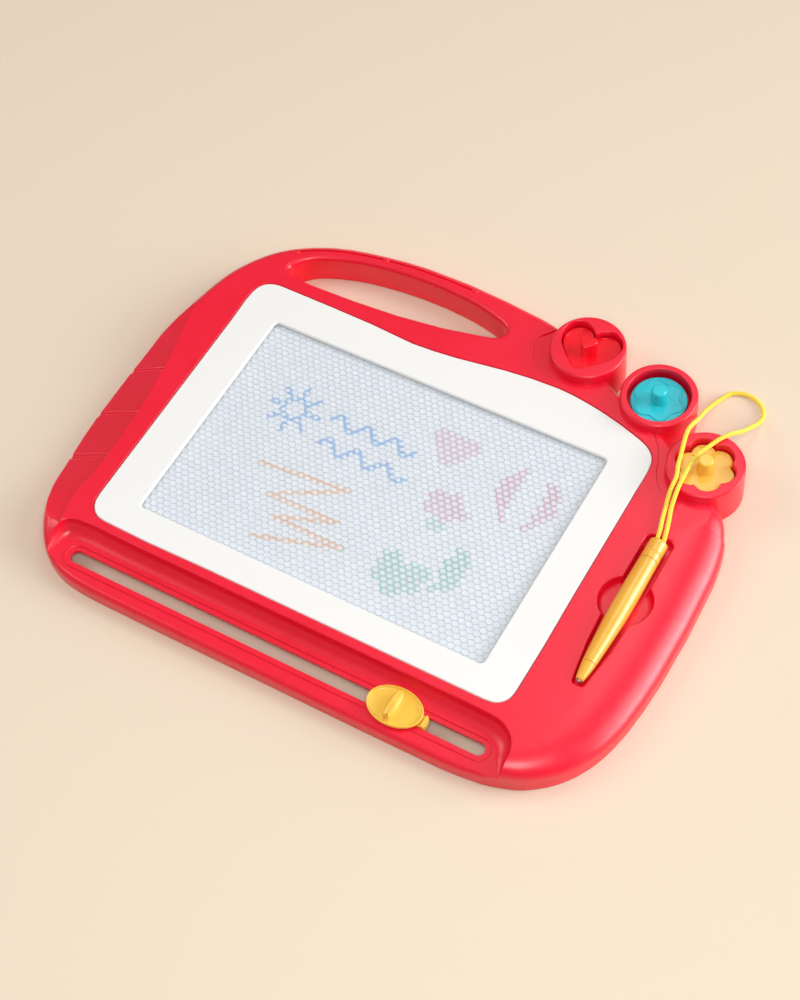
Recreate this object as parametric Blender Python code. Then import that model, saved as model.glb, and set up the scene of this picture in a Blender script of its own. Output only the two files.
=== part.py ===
"""Kids drawing board: a magnetic screen in a moulded shell, with an eraser slider, a pen and three stamps.

Metres, +Z up. The board lies flat on its back cover, the handle towards +Y, the slider towards -Y.
The origin is under the middle of the board's box, at table height.
"""
import math

import bpy
import bmesh
from mathutils import Matrix, Vector

# Fits and finish
GAP = 0.0003                  # clearance between any two pieces that touch or seat
FILM_GAP = 0.0002             # clearance between the layers of the screen
OVERRUN = 0.006               # how far every cutter reaches past what it cuts
WALL = 0.0024                 # wall of the moulded shells
FACET_ANGLE = math.radians(12)  # turn of an outline between two points
SHARP_ANGLE = math.radians(32)  # an edge that bends more is drawn sharp
POINT_GAP = 0.00003           # two points of an outline that are closer are one
ROUND_SIDES = 36              # sides of a cup or a large disc
SMALL_SIDES = 12              # sides of a screw, a pin or a pen
ROUND_STEPS = 2               # facets across a rounded edge
GRIP_STEPS = 2                # facets between two points of the grip's edge
TURN = 2 * math.pi
QUARTER = math.pi / 2

# Screen and bezel
SCREEN_WIDTH = 0.2284
SCREEN_HEIGHT = 0.152
SCREEN_CORNER = 0.003
BEZEL_LEFT = 0.026
BEZEL_RIGHT = 0.024
BEZEL_FRONT = 0.0184
BEZEL_BACK = 0.0325
BEZEL_THICKNESS = 0.0018
BEZEL_EDGE = 0.0007
WINDOW_SLOPE = 0.0012
FILM_THICKNESS = 0.0005
HONEYCOMB_THICKNESS = 0.0014
SHEET_MARGIN_X = 0.0153       # how far the screen's layers reach past the window
SHEET_MARGIN_Y = 0.0072
FLANGE = 0.003                # seat of the layers on the shell
FLANGE_THICKNESS = 0.0018
SNAP_LENGTH = 0.012
SNAP_WIDTH = 0.0016
SNAP_DEPTH = 0.0042
SNAP_INSET = 0.0042

# Board
LEFT_RAIL = 0.0393
RIGHT_RAIL = 0.0638
FRONT_RAIL = 0.0396
BACK_RAIL = 0.0493
DECK_HEIGHT = 0.021
LEDGE_HEIGHT = 0.011
RIM_LIFT = 0.0006             # the shell's lower edge stands clear of the table by this
EDGE_RADIUS = 0.007
LIP_RADIUS = 0.004
LIP_TRIM = 0.0002             # the lip is made this much high, and the ledge is cut to height
SHOULDER_WIDTH = 0.030        # broad rounded shoulder along the right side
SHOULDER_DROP = 0.013
DECK_RUN = 0.007              # level run inside the rounded edge
APRON_DROP = 0.002            # the low step round the cups
GRIP_STEP = 0.0010
GRIP_DROP = 0.0095
GRIP_BAND_DEPTH = 0.0011
GRIP_BAND_WIDTH = 0.0060
GRIP_BAND_TILT = 0.008        # a band's outer end lies this far in front of its inner end
GROOVE_INSET = 0.0042
GROOVE_WIDTH = 0.0011
GROOVE_DEPTH = 0.0011
HANDLE_EDGE = 0.003

# Cups and stamps
CUP_RADIUS = 0.02305
CUP_RISE = 0.006              # rim above the deck
CUP_EDGE = 0.0012
WELL_RADIUS = 0.019
WELL_DEPTH = 0.0113
HEART_WIDTH = 0.038
FLOWER_LOBE_REACH = 0.0100    # centre of a lobe from the centre of the flower
FLOWER_LOBE_RADIUS = 0.0083
FLOWER_LOBES = 6
LOBE_SIDES = 8
STAMP_PLAY = 0.0007
ROUND_STAMP_RADIUS = 0.0169
STAMP_THICKNESS = 0.006
STAMP_EDGE = 0.0008
STAMP_KNOB_RADIUS = 0.0050
STAMP_KNOB_HEIGHT = 0.0100
STAMP_KNOB_DRAFT = 0.0004
HEART_KNOB_WIDTH = 0.0108
MAGNET_RADIUS = 0.0085
MAGNET_THICKNESS = 0.0015

# Slot, slider and eraser
SLOT_WIDTH = 0.008
SLOT_SETBACK = 0.0234         # slot's centre line from the bezel's front edge
COLLAR_WIDTH = 0.0037
COLLAR_RISE = 0.0006
BACK_SLOT_WIDTH = 0.021
KNOB_SETBACK = 0.0319         # knob at rest from the screen's right edge
KNOB_LENGTH = 0.034
KNOB_WIDTH = 0.0238
KNOB_RIM = 0.0012
KNOB_CHAMFER = 0.0011
KNOB_BEVEL = 0.0004
KNOB_BASE = 0.0014
KNOB_HEIGHT = 0.0029
FIN_LENGTH = 0.019
FIN_WIDTH = 0.0058
FIN_HEIGHT = 0.0062
NECK_LENGTH = 0.0345
NECK_OFFSET = 0.00275         # neck's middle from the knob's middle
NECK_CORNER = 0.002
TAB_THICKNESS = 0.0016
TAB_RISE = 0.0016
FOOT_LENGTH = 0.030
FOOT_WIDTH = 0.018
FOOT_THICKNESS = 0.003
TONGUE_LENGTH = 0.026
TONGUE_THICKNESS = 0.0022
TONGUE_REACH = 0.014          # from the slot's centre line towards the screen
POST_RADIUS = 0.0023
POST_LENGTH = 0.005
ARM_WIDTH = 0.012
ARM_WEB = 0.0030
ARM_PLATE = 0.0015
ARM_LIP = 0.0011
MAGNET_STRIP_THICKNESS = 0.0023
MAGNET_STRIP_MARGIN = 0.002   # strip past the window at each end
ARM_LOW_REACH = 0.019         # the arm stays low under the ledge up to here
SHOE_LENGTH = 0.010
SHOE_WIDTH = 0.0054
RAIL_HEIGHT = 0.0038
RAIL_THICKNESS = 0.0015
RAIL_PAST_SCREEN = 0.0178

# Back cover and screws
COVER_THICKNESS = 0.002
COVER_EDGE = 0.0006
BACK_SLOT_MARGIN = 0.006      # cover's opening past the ends of the slot
RIB_HEIGHT = 0.003
RIB_THICKNESS = 0.0014
RIB_SPACING = 0.050
BOSS_RADIUS = 0.0034
SEAT_RADIUS = 0.0034          # raised seat round each screw in the cover
SEAT_HEIGHT = 0.0042
SEAT_FLOOR = 0.0022           # bottom of the screw's hollow in the cover
SCREW_HEAD_RADIUS = 0.0027
SCREW_HEAD_HEIGHT = 0.0013
SCREW_RADIUS = 0.0013
SCREW_LENGTH = 0.009
SCREW_TAPER_SHARE = 0.8       # end of a screw's head against its rim
SMALL_SCREW_RADIUS = 0.0010
SMALL_SCREW_LENGTH = 0.0045
SMALL_SCREW_HEAD_RADIUS = 0.0021
SMALL_SCREW_HEAD_HEIGHT = 0.0011

# Pen tray and pen
TRAY_CAP_ROOM = 0.0043        # cap from the tray's end
TRAY_WIDTH = 0.0165
TRAY_SETBACK = 0.0273         # tray's centre line from the bezel's right edge
PEN_TOP = 0.03795             # cap's end from the screen's middle, along Y
TRAY_DEPTH = 0.0064
TRAY_EDGE = 0.0014
FINGER_RADIUS = 0.0155
FINGER_OFFSET = 0.0063        # finger hollow from the tray's middle
PEN_LENGTH = 0.100
PEN_RADIUS = 0.0061           # at the belly
PEN_END_GAP = 0.0012          # nib from the tray's end
CAP_SPIGOT_RADIUS = 0.0034
TIP_SPIGOT_RADIUS = 0.0023
SPIGOT_LENGTH = 0.007
NIB_RADIUS = 0.0012
NIB_DEPTH = 0.006
CORD_DIAMETER = 0.0027
CORD_SPREAD = 0.0039          # between the two ends of the cord in the cap
CORD_SEAT = 0.002

# Looks: colour, roughness, metallic share and alpha
RED_PLASTIC = ((0.90, 0.07, 0.10), 0.42, 0.0, 1.0)
RUBY_PLASTIC = ((0.92, 0.02, 0.04), 0.18, 0.0, 1.0)
WHITE_PLASTIC = ((0.92, 0.91, 0.88), 0.40, 0.0, 1.0)
CLEAR_FILM = ((0.85, 0.88, 0.90), 0.15, 0.0, 0.5)
SCREEN_CELLS = ((0.78, 0.83, 0.90), 0.50, 0.0, 1.0)
YELLOW_PLASTIC = ((0.98, 0.60, 0.08), 0.25, 0.0, 1.0)
TEAL_PLASTIC = ((0.05, 0.55, 0.65), 0.25, 0.0, 1.0)
FERRITE = ((0.05, 0.05, 0.05), 0.60, 0.0, 1.0)
STEEL = ((0.60, 0.60, 0.62), 0.35, 1.0, 1.0)
YELLOW_BRAID = ((0.95, 0.75, 0.06), 0.80, 0.0, 1.0)

# Worked out from the above
BEZEL_WIDTH = BEZEL_LEFT + SCREEN_WIDTH + BEZEL_RIGHT
BEZEL_DEPTH = BEZEL_FRONT + SCREEN_HEIGHT + BEZEL_BACK
BOARD_WIDTH = LEFT_RAIL + BEZEL_WIDTH + RIGHT_RAIL
BOARD_DEPTH = FRONT_RAIL + BEZEL_DEPTH + BACK_RAIL

# Cup centres as shares of the board's width and depth, from its left front corner
CUP_SHARES = {"heart": (0.6506, 0.9383), "round": (0.7906, 0.8931), "flower": (0.9090, 0.7817)}
SLOT_SPAN_SHARES = (0.1125, 0.8322)           # the slot's two ends, along the board's width
BOARD_REACH = max(BOARD_DEPTH, CUP_SHARES["heart"][1] * BOARD_DEPTH + CUP_RADIUS)
LEFT = -BOARD_WIDTH / 2
FRONT = -BOARD_REACH / 2
SCREEN_X = LEFT + LEFT_RAIL + BEZEL_LEFT + SCREEN_WIDTH / 2
SCREEN_Y = FRONT + FRONT_RAIL + BEZEL_FRONT + SCREEN_HEIGHT / 2
BEZEL_X = SCREEN_X - SCREEN_WIDTH / 2 - BEZEL_LEFT
BEZEL_Y = SCREEN_Y - SCREEN_HEIGHT / 2 - BEZEL_FRONT

# Heights above the table
BEZEL_SEAT = DECK_HEIGHT - BEZEL_THICKNESS - GAP
SHEET_TOP = BEZEL_SEAT
SHEET_STACK = 2 * FILM_THICKNESS + HONEYCOMB_THICKNESS + 2 * FILM_GAP
FLANGE_TOP = SHEET_TOP - SHEET_STACK - GAP
FLANGE_UNDER = FLANGE_TOP - FLANGE_THICKNESS
CUP_TOP = DECK_HEIGHT + CUP_RISE
WELL_FLOOR = CUP_TOP - WELL_DEPTH
STAMP_BASE = WELL_FLOOR + GAP
STAMP_TOP = STAMP_BASE + STAMP_THICKNESS
TRAY_FLOOR = DECK_HEIGHT - TRAY_DEPTH
PEN_HEIGHT = TRAY_FLOOR + GAP + PEN_RADIUS
LEDGE_UNDER = LEDGE_HEIGHT - WALL
COLLAR_TOP = LEDGE_HEIGHT + COLLAR_RISE
SLOT_LENGTH = (SLOT_SPAN_SHARES[1] - SLOT_SPAN_SHARES[0]) * BOARD_WIDTH
RAIL_LENGTH = SCREEN_WIDTH + 2 * RAIL_PAST_SCREEN
SLOT_X = LEFT + SLOT_SPAN_SHARES[0] * BOARD_WIDTH + SLOT_LENGTH / 2
SLOT_Y = BEZEL_Y - SLOT_SETBACK
KNOB_X = SCREEN_X + SCREEN_WIDTH / 2 - KNOB_SETBACK
NECK_X = KNOB_X + NECK_OFFSET
KNOB_UNDER = COLLAR_TOP + GAP
FOOT_TOP = LEDGE_UNDER - GAP
FOOT_UNDER = FOOT_TOP - FOOT_THICKNESS
TONGUE_TOP = FOOT_UNDER - GAP
TONGUE_UNDER = TONGUE_TOP - TONGUE_THICKNESS
SHEET_WIDTH = SCREEN_WIDTH + 2 * SHEET_MARGIN_X
SHEET_HEIGHT = SCREEN_HEIGHT + 2 * SHEET_MARGIN_Y
STRIP_TOP = FLANGE_TOP - GAP
STRIP_UNDER = STRIP_TOP - MAGNET_STRIP_THICKNESS
STRIP_LENGTH = SCREEN_HEIGHT + 2 * MAGNET_STRIP_MARGIN
ARM_TOP = STRIP_UNDER - GAP
ARM_WEB_TOP = ARM_TOP - ARM_PLATE
RAIL_TOP = COVER_THICKNESS + RAIL_HEIGHT
ARM_WEB_UNDER = RAIL_TOP + GAP
RAIL_Y = SCREEN_Y + SHEET_HEIGHT / 2 + SHOE_WIDTH / 2
TRAY_X = BEZEL_X + BEZEL_WIDTH + TRAY_SETBACK
PEN_TOP_Y = SCREEN_Y + PEN_TOP
TRAY_LENGTH = PEN_END_GAP + PEN_LENGTH + TRAY_CAP_ROOM
TRAY_Y = PEN_TOP_Y + TRAY_CAP_ROOM - TRAY_LENGTH / 2

# The board's outline, from the left end of the front, anticlockwise: shares of the board's
# width and depth, then how far the edge opens into the broad shoulder, then how far it is
# the low front ledge's lip
OUTLINE_SHARES = [
    (0.182, 0.001, 0.0, 1.0), (0.320, 0.000, 0.0, 1.0), (0.640, 0.000, 0.0, 1.0),
    (0.780, 0.001, 0.0, 1.0), (0.845, 0.009, 0.05, 0.85), (0.902, 0.034, 0.35, 0.15),
    (0.944, 0.079, 0.60, 0.0), (0.974, 0.144, 0.80, 0.0), (0.991, 0.229, 0.95, 0.0),
    (0.999, 0.345, 1.0, 0.0), (1.000, 0.460, 1.0, 0.0), (0.996, 0.582, 1.0, 0.0),
    (0.986, 0.658, 0.75, 0.0), (0.968, 0.706, 0.30, 0.0), (0.938, 0.737, 0.05, 0.0),
    (0.892, 0.768, 0.0, 0.0), (0.851, 0.808, 0.0, 0.0), (0.805, 0.846, 0.0, 0.0),
    (0.754, 0.866, 0.0, 0.0), (0.712, 0.894, 0.0, 0.0), (0.670, 0.932, 0.0, 0.0),
    (0.617, 0.965, 0.0, 0.0), (0.553, 0.985, 0.0, 0.0), (0.486, 0.994, 0.0, 0.0),
    (0.414, 1.000, 0.0, 0.0), (0.337, 0.999, 0.0, 0.0), (0.258, 0.987, 0.0, 0.0),
    (0.172, 0.959, 0.0, 0.0), (0.095, 0.899, 0.0, 0.0), (0.046, 0.809, 0.0, 0.0),
    (0.022, 0.699, 0.0, 0.0), (0.008, 0.588, 0.0, 0.0), (0.002, 0.470, 0.0, 0.0),
    (0.000, 0.366, 0.0, 0.0), (0.008, 0.250, 0.0, 0.0), (0.028, 0.134, 0.0, 0.0),
    (0.050, 0.075, 0.0, 0.25), (0.078, 0.034, 0.0, 0.85), (0.120, 0.009, 0.0, 1.0),
]

# The bezel's outline in shares of its own box
BEZEL_SHARES = [
    (0.052, 0.000), (0.300, 0.000), (0.700, 0.000), (0.950, 0.000), (0.978, 0.007),
    (0.995, 0.030), (1.000, 0.066), (1.000, 0.400), (1.000, 0.780), (1.000, 0.862),
    (0.993, 0.900), (0.975, 0.926), (0.935, 0.949), (0.845, 0.982), (0.737, 1.000),
    (0.612, 0.988), (0.504, 0.965), (0.396, 0.953), (0.288, 0.962), (0.180, 0.965),
    (0.075, 0.966), (0.034, 0.963), (0.010, 0.943), (0.000, 0.905), (0.000, 0.780),
    (0.000, 0.400), (0.000, 0.075), (0.005, 0.037), (0.022, 0.010),
]

# The front ledge, its upper edge on the deck and its foot: shares of the board's width and of
# the front rail's depth
LEDGE_SHARES = [
    ((0.072, -0.295), (0.074, -0.295)), ((0.072, 0.000), (0.075, 0.000)),
    ((0.072, 0.354), (0.079, 0.295)), ((0.073, 0.582), (0.088, 0.464)),
    ((0.084, 0.774), (0.096, 0.589)), ((0.106, 0.847), (0.114, 0.641)),
    ((0.200, 0.847), (0.200, 0.641)), ((0.700, 0.847), (0.700, 0.641)),
    ((0.785, 0.847), (0.785, 0.641)), ((0.816, 0.840), (0.809, 0.634)),
    ((0.841, 0.796), (0.829, 0.589)), ((0.860, 0.671), (0.843, 0.494)),
    ((0.870, 0.457), (0.851, 0.354)), ((0.872, 0.199), (0.866, 0.192)),
    ((0.872, 0.000), (0.868, 0.000)), ((0.872, -0.295), (0.870, -0.295)),
]

# The handle's opening in shares of the board
HANDLE_SHARES = [
    (0.137, 0.849), (0.158, 0.843), (0.211, 0.843), (0.263, 0.845), (0.342, 0.852),
    (0.421, 0.866), (0.473, 0.881), (0.498, 0.889), (0.510, 0.898), (0.514, 0.911),
    (0.507, 0.925), (0.473, 0.941), (0.421, 0.953), (0.342, 0.957), (0.263, 0.948),
    (0.211, 0.933), (0.158, 0.904), (0.135, 0.874), (0.131, 0.860),
]

# The step round the cups, from its end beyond the back edge, in shares of the board
APRON_SHARES = [
    (0.566, 1.060), (0.569, 0.942), (0.584, 0.877), (0.612, 0.858), (0.649, 0.853),
    (0.684, 0.857), (0.727, 0.868), (0.780, 0.850), (0.826, 0.831), (0.837, 0.784),
    (0.854, 0.738), (0.876, 0.696), (0.922, 0.677), (0.982, 0.668), (1.040, 0.660),
    (1.040, 1.060),
]

# The grip's inner edge on the left of the deck, front to back, in shares of the board
GRIP_SHARES = [
    (0.079, 0.075), (0.072, 0.130), (0.068, 0.178), (0.073, 0.281), (0.070, 0.384),
    (0.057, 0.521), (0.044, 0.603), (0.031, 0.685), (0.022, 0.720),
]
GRIP_FALL_SHARES = [0.0, 0.45, 0.75, 1.0, 1.0, 0.95, 0.75, 0.30, 0.0]
GRIP_BAND_SHARES = [0.262, 0.379, 0.499]      # where the recessed bands cross the grip
GROOVE_SPAN_SHARES = (0.120, 0.425)           # the handle's groove, along the board's width

# The left half of a heart, from its notch to its tip, in shares of its width
HEART_SHARES = [
    (0.000, 0.290), (-0.090, 0.375), (-0.235, 0.430), (-0.385, 0.385), (-0.480, 0.265),
    (-0.500, 0.110), (-0.440, -0.060), (-0.310, -0.220), (-0.150, -0.370), (0.000, -0.460),
]

# Screws that hold the back cover, in shares of the board
SCREW_SHARES = [
    (0.060, 0.640), (0.056, 0.400), (0.060, 0.185), (0.095, 0.845), (0.313, 0.815),
    (0.570, 0.945), (0.962, 0.560), (0.966, 0.300), (0.905, 0.115),
]

# The right half of the pen tray, from the tip's end: shares of its half width and its length
TRAY_SHARES = [
    (0.300, 0.000), (0.424, 0.013), (0.860, 0.250), (1.000, 0.450), (1.000, 0.974), (0.667, 1.000),
]

# Half the pen's outline from its cap to its tip: share of its length, share of its radius
CAP_SHARES = [
    (0.000, 0.82), (0.003, 0.89), (0.010, 0.92), (0.085, 0.92), (0.088, 0.86),
    (0.094, 0.86), (0.097, 0.93), (0.137, 0.93),
]
BARREL_SHARES = [
    (0.140, 0.93), (0.280, 0.96), (0.420, 1.00), (0.540, 0.97), (0.680, 0.86),
    (0.800, 0.74), (0.868, 0.67),
]
TIP_SHARES = [(0.871, 0.67), (0.930, 0.54), (0.972, 0.42), (0.985, 0.34)]

# The cord's route: out of the cap, over the rim of the last cup, round a loop on the
# table and back over the cup to the cap
CORD_ROUTE = [
    (0.15230, 0.02200, 0.02100), (0.15230, 0.02470, 0.02100), (0.15160, 0.02950, 0.02330),
    (0.14950, 0.03700, 0.02320), (0.14760, 0.04550, 0.02360), (0.14640, 0.05150, 0.02600),
    (0.14600, 0.05650, 0.02840), (0.14550, 0.06290, 0.02900), (0.14270, 0.07150, 0.02880),
    (0.14050, 0.08050, 0.02870), (0.13860, 0.08810, 0.02900), (0.13720, 0.09560, 0.02820),
    (0.13670, 0.10260, 0.02490), (0.13620, 0.10960, 0.01960), (0.13560, 0.11700, 0.01400),
    (0.13500, 0.12500, 0.00900), (0.13560, 0.13350, 0.00480), (0.13740, 0.14150, 0.00220),
    (0.14150, 0.14900, 0.00165), (0.14720, 0.15200, 0.00165), (0.15280, 0.15230, 0.00165),
    (0.15860, 0.15050, 0.00165), (0.16330, 0.14650, 0.00165), (0.16560, 0.14130, 0.00225),
    (0.16590, 0.13400, 0.00560), (0.16500, 0.12450, 0.01280), (0.16320, 0.11350, 0.02120),
    (0.16000, 0.10450, 0.02790), (0.15620, 0.09780, 0.02900), (0.15280, 0.09050, 0.02870),
    (0.14990, 0.08350, 0.02860), (0.14880, 0.07580, 0.02860), (0.14870, 0.06920, 0.02875),
    (0.14910, 0.06290, 0.02900), (0.14950, 0.05650, 0.02840), (0.15000, 0.05100, 0.02600),
    (0.15100, 0.04500, 0.02360), (0.15340, 0.03700, 0.02320), (0.15540, 0.02950, 0.02330),
    (0.15620, 0.02470, 0.02100), (0.15620, 0.02200, 0.02100),
]
CORD_STEPS = 8                # fine points of the smooth curve for each point of the route
CORD_SPACING_DIAMETERS = 2    # between two points of the tube


# Outlines

def at(share_x, share_y):
    """A place on the board from shares of its width and depth."""
    return LEFT + share_x * BOARD_WIDTH, FRONT + share_y * BOARD_DEPTH


def on_front(share_x, share_y):
    """A place on the front rail from shares of the board's width and of the rail's depth."""
    return LEFT + share_x * BOARD_WIDTH, FRONT + share_y * FRONT_RAIL


def catmull(p0, p1, p2, p3, gaps, t):
    """A centripetal Catmull-Rom point between p1 and p2; gaps are the root distances."""
    g0, g1, g2 = gaps
    values = []
    for a, b, c, d in zip(p0, p1, p2, p3):
        into = g1 * ((b - a) / g0 - (c - a) / (g0 + g1) + (c - b) / g1)
        out = g1 * ((c - b) / g1 - (d - b) / (g1 + g2) + (d - c) / g2)
        values.append(b + t * into + t * t * (3 * (c - b) - 2 * into - out)
                      + t ** 3 * (2 * (b - c) + into + out))
    return tuple(values)


def root_gap(a, b):
    return math.sqrt(math.dist(a[:2], b[:2]))


def turn_between(a, b, c, d):
    """How far a curve turns from chord a-b to chord c-d."""
    first = Vector((b[0] - a[0], b[1] - a[1]))
    last = Vector((d[0] - c[0], d[1] - c[1]))
    return abs(first.angle_signed(last))


def smooth_loop(points):
    """A closed smooth curve through the points, with more points where it turns more."""
    count = len(points)
    loop = []
    for i in range(count):
        p0, p1, p2, p3 = (points[(i + k) % count] for k in (-1, 0, 1, 2))
        gaps = root_gap(p0, p1), root_gap(p1, p2), root_gap(p2, p3)
        turn = (turn_between(p0, p1, p1, p2) + turn_between(p1, p2, p2, p3)) / 2
        steps = max(1, round(turn / FACET_ANGLE))
        loop += [catmull(p0, p1, p2, p3, gaps, k / steps) for k in range(steps)]
    return loop


def smooth_line(points, steps):
    """An open smooth curve through the points, with some steps between each two."""
    before = tuple(2 * a - b for a, b in zip(points[0], points[1]))
    after = tuple(2 * a - b for a, b in zip(points[-1], points[-2]))
    padded = [before, *points, after]
    line = []
    for i in range(1, len(padded) - 2):
        p0, p1, p2, p3 = padded[i - 1:i + 3]
        gaps = [math.sqrt(math.dist(a, b)) for a, b in ((p0, p1), (p1, p2), (p2, p3))]
        line += [catmull(p0, p1, p2, p3, gaps, k / steps) for k in range(steps)]
    return line + [points[-1]]


def even_line(line, spacing):
    """Points at equal steps along a line, its two ends kept."""
    reach = [0.0]
    for a, b in zip(line, line[1:]):
        reach.append(reach[-1] + math.dist(a, b))
    count = round(reach[-1] / spacing)
    even = []
    for k in range(count):
        along = reach[-1] * k / count
        i = max(j for j, r in enumerate(reach[:-1]) if r <= along)
        share = (along - reach[i]) / (reach[i + 1] - reach[i])
        even.append(tuple(a + (b - a) * share for a, b in zip(line[i], line[i + 1])))
    return even + [line[-1]]


def offset_loop(loop, distance):
    """The loop moved outwards by a distance, or by one distance for each point."""
    count = len(loop)
    moved = []
    for i in range(count):
        before = Vector(loop[i][:2]) - Vector(loop[i - 1][:2])
        after = Vector(loop[(i + 1) % count][:2]) - Vector(loop[i][:2])
        normal = (Vector((before.y, -before.x)).normalized()
                  + Vector((after.y, -after.x)).normalized()).normalized()
        half_turn = before.angle(after) / 2
        step = distance[i] if isinstance(distance, list) else distance
        place = Vector(loop[i][:2]) + normal * step / max(math.cos(half_turn), math.cos(QUARTER / 2))
        moved.append((place.x, place.y))
    return moved


def midpoints(loop):
    return [((a[0] + b[0]) / 2, (a[1] + b[1]) / 2) for a, b in zip(loop, loop[1:] + loop[:1])]


def circle(x, y, radius, sides):
    return [(x + radius * math.cos(TURN * i / sides), y + radius * math.sin(TURN * i / sides))
            for i in range(sides)]


def oval(x, y, length, width, sides):
    return [(x + length / 2 * math.cos(TURN * i / sides), y + width / 2 * math.sin(TURN * i / sides))
            for i in range(sides)]


def rounded_box(x, y, length, width, radius):
    """A rectangle about x, y with round corners; a radius of half the width gives a stadium."""
    sides = max(2, round(QUARTER / FACET_ANGLE / 2))
    loop = []
    for corner, (sx, sy) in enumerate(((1, 1), (-1, 1), (-1, -1), (1, -1))):
        cx = x + sx * (length / 2 - radius)
        cy = y + sy * (width / 2 - radius)
        for i in range(sides + 1):
            angle = QUARTER * (corner + i / sides)
            loop.append((cx + radius * math.cos(angle), cy + radius * math.sin(angle)))
    return without_doubles(loop)


def without_doubles(loop):
    return [p for i, p in enumerate(loop) if math.dist(p, loop[i - 1]) > POINT_GAP]


def heart(x, y, width):
    """A heart with a soft notch, anticlockwise from the notch."""
    right = [(-sx, sy) for sx, sy in reversed(HEART_SHARES[1:-1])]
    return smooth_loop([(x + sx * width, y + sy * width) for sx, sy in HEART_SHARES + right])


def flower(x, y, play):
    """Round lobes in a ring, drawn in all round by the play."""
    lobe = FLOWER_LOBE_RADIUS - play
    loop = []
    for i in range(FLOWER_LOBES * LOBE_SIDES):
        angle = TURN * i / (FLOWER_LOBES * LOBE_SIDES)
        swing = (i % LOBE_SIDES) / LOBE_SIDES
        off = TURN / FLOWER_LOBES * (swing - round(swing))
        side = FLOWER_LOBE_REACH * math.sin(off)
        reach = FLOWER_LOBE_REACH * math.cos(off) + math.sqrt(lobe ** 2 - side ** 2)
        loop.append((x + reach * math.cos(angle), y + reach * math.sin(angle)))
    return loop


# Solids

def material(name, colour, roughness, metallic, alpha):
    made = bpy.data.materials.new(name)
    made.use_nodes = True
    shader = made.node_tree.nodes["Principled BSDF"]
    shader.inputs["Base Color"].default_value = (*colour, 1.0)
    shader.inputs["Roughness"].default_value = roughness
    shader.inputs["Metallic"].default_value = metallic
    shader.inputs["Alpha"].default_value = alpha
    return made


def add_object(name, mesh, finish=None):
    mesh.shade_smooth()
    mesh.set_sharp_from_angle(angle=SHARP_ANGLE)
    thing = bpy.data.objects.new(name, mesh)
    bpy.context.scene.collection.objects.link(thing)
    if finish:
        mesh.materials.append(material(name, *finish))
    return thing


def stack(name, rings, finish=None):
    """A closed solid through rings of equally many points, lowest first, anticlockwise."""
    count = len(rings[0])
    points = [point for ring in rings for point in ring]
    faces = [tuple(reversed(range(count)))]
    for level in range(len(rings) - 1):
        low = level * count
        high = low + count
        for i in range(count):
            j = (i + 1) % count
            faces.append((low + i, low + j, high + j, high + i))
    top = (len(rings) - 1) * count
    faces.append(tuple(range(top, top + count)))
    mesh = bpy.data.meshes.new(name)
    mesh.from_pydata(points, [], faces)
    return add_object(name, mesh, finish)


def level(loop, height):
    return [(point[0], point[1], height) for point in loop]


def plate(name, loop, low, high, finish=None, edge=0.0, lower_edge=0.0):
    """A flat solid on a loop, with its upper and lower edges rounded by a radius."""
    rings = []
    for k in range(ROUND_STEPS):
        if lower_edge:
            angle = QUARTER * k / ROUND_STEPS
            inset = lower_edge * (1 - math.sin(angle))
            rings.append(level(offset_loop(loop, -inset), low + lower_edge * (1 - math.cos(angle))))
    rings.append(level(loop, low + lower_edge))
    rings.append(level(loop, high - edge))
    for k in range(ROUND_STEPS):
        if edge:
            angle = QUARTER * (k + 1) / ROUND_STEPS
            inset = edge * (1 - math.cos(angle))
            rings.append(level(offset_loop(loop, -inset), high - edge * (1 - math.sin(angle))))
    return stack(name, rings, finish)


def recess(name, loop, low, high, edge=0.0):
    """A cutter on a loop from low up past high, whose mouth at high is rounded outwards."""
    rings = [level(loop, low), level(loop, high - edge)]
    for k in range(ROUND_STEPS):
        if edge:
            angle = QUARTER * (k + 1) / ROUND_STEPS
            flare = edge * (1 - math.cos(angle))
            rings.append(level(offset_loop(loop, flare), high - edge * (1 - math.sin(angle))))
    rings.append(level(offset_loop(loop, edge), high + OVERRUN))
    return stack(name, rings)


def block(name, x, y, low, length, width, height, finish=None):
    """A box centred on x, y that stands on the height low."""
    half_x = length / 2
    half_y = width / 2
    loop = [(x - half_x, y - half_y), (x + half_x, y - half_y),
            (x + half_x, y + half_y), (x - half_x, y + half_y)]
    return stack(name, [level(loop, low), level(loop, low + height)], finish)


def rod(name, x, y, low, high, radius, finish=None, sides=SMALL_SIDES):
    loop = circle(x, y, radius, sides)
    return stack(name, [level(loop, low), level(loop, high)], finish)


def combine(target, tool, operation):
    """Add the tool to the target, or cut it away, and leave the tool out of the model."""
    modifier = target.modifiers.new(tool.name, "BOOLEAN")
    modifier.operation = operation
    modifier.solver = "EXACT"
    modifier.object = tool
    tool.hide_render = True
    tool.display_type = "WIRE"


def join(target, *tools):
    for tool in tools:
        combine(target, tool, "UNION")


def cut(target, *tools):
    for tool in tools:
        combine(target, tool, "DIFFERENCE")


# The board's own outlines

def board_outline():
    """The outer outline; each point also carries its shoulder and its ledge share."""
    loop = smooth_loop([(*at(sx, sy), shoulder, lip) for sx, sy, shoulder, lip in OUTLINE_SHARES])
    low_x = min(p[0] for p in loop)
    high_x = max(p[0] for p in loop)
    low_y = min(p[1] for p in loop)
    high_y = max(p[1] for p in loop)
    fitted = []
    for x, y, shoulder, lip in loop:
        across = LEFT + (x - low_x) / (high_x - low_x) * BOARD_WIDTH
        along = FRONT + (y - low_y) / (high_y - low_y) * BOARD_DEPTH
        fitted.append((across, along, min(1, max(0, shoulder)), min(1, max(0, lip))))
    return fitted


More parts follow.
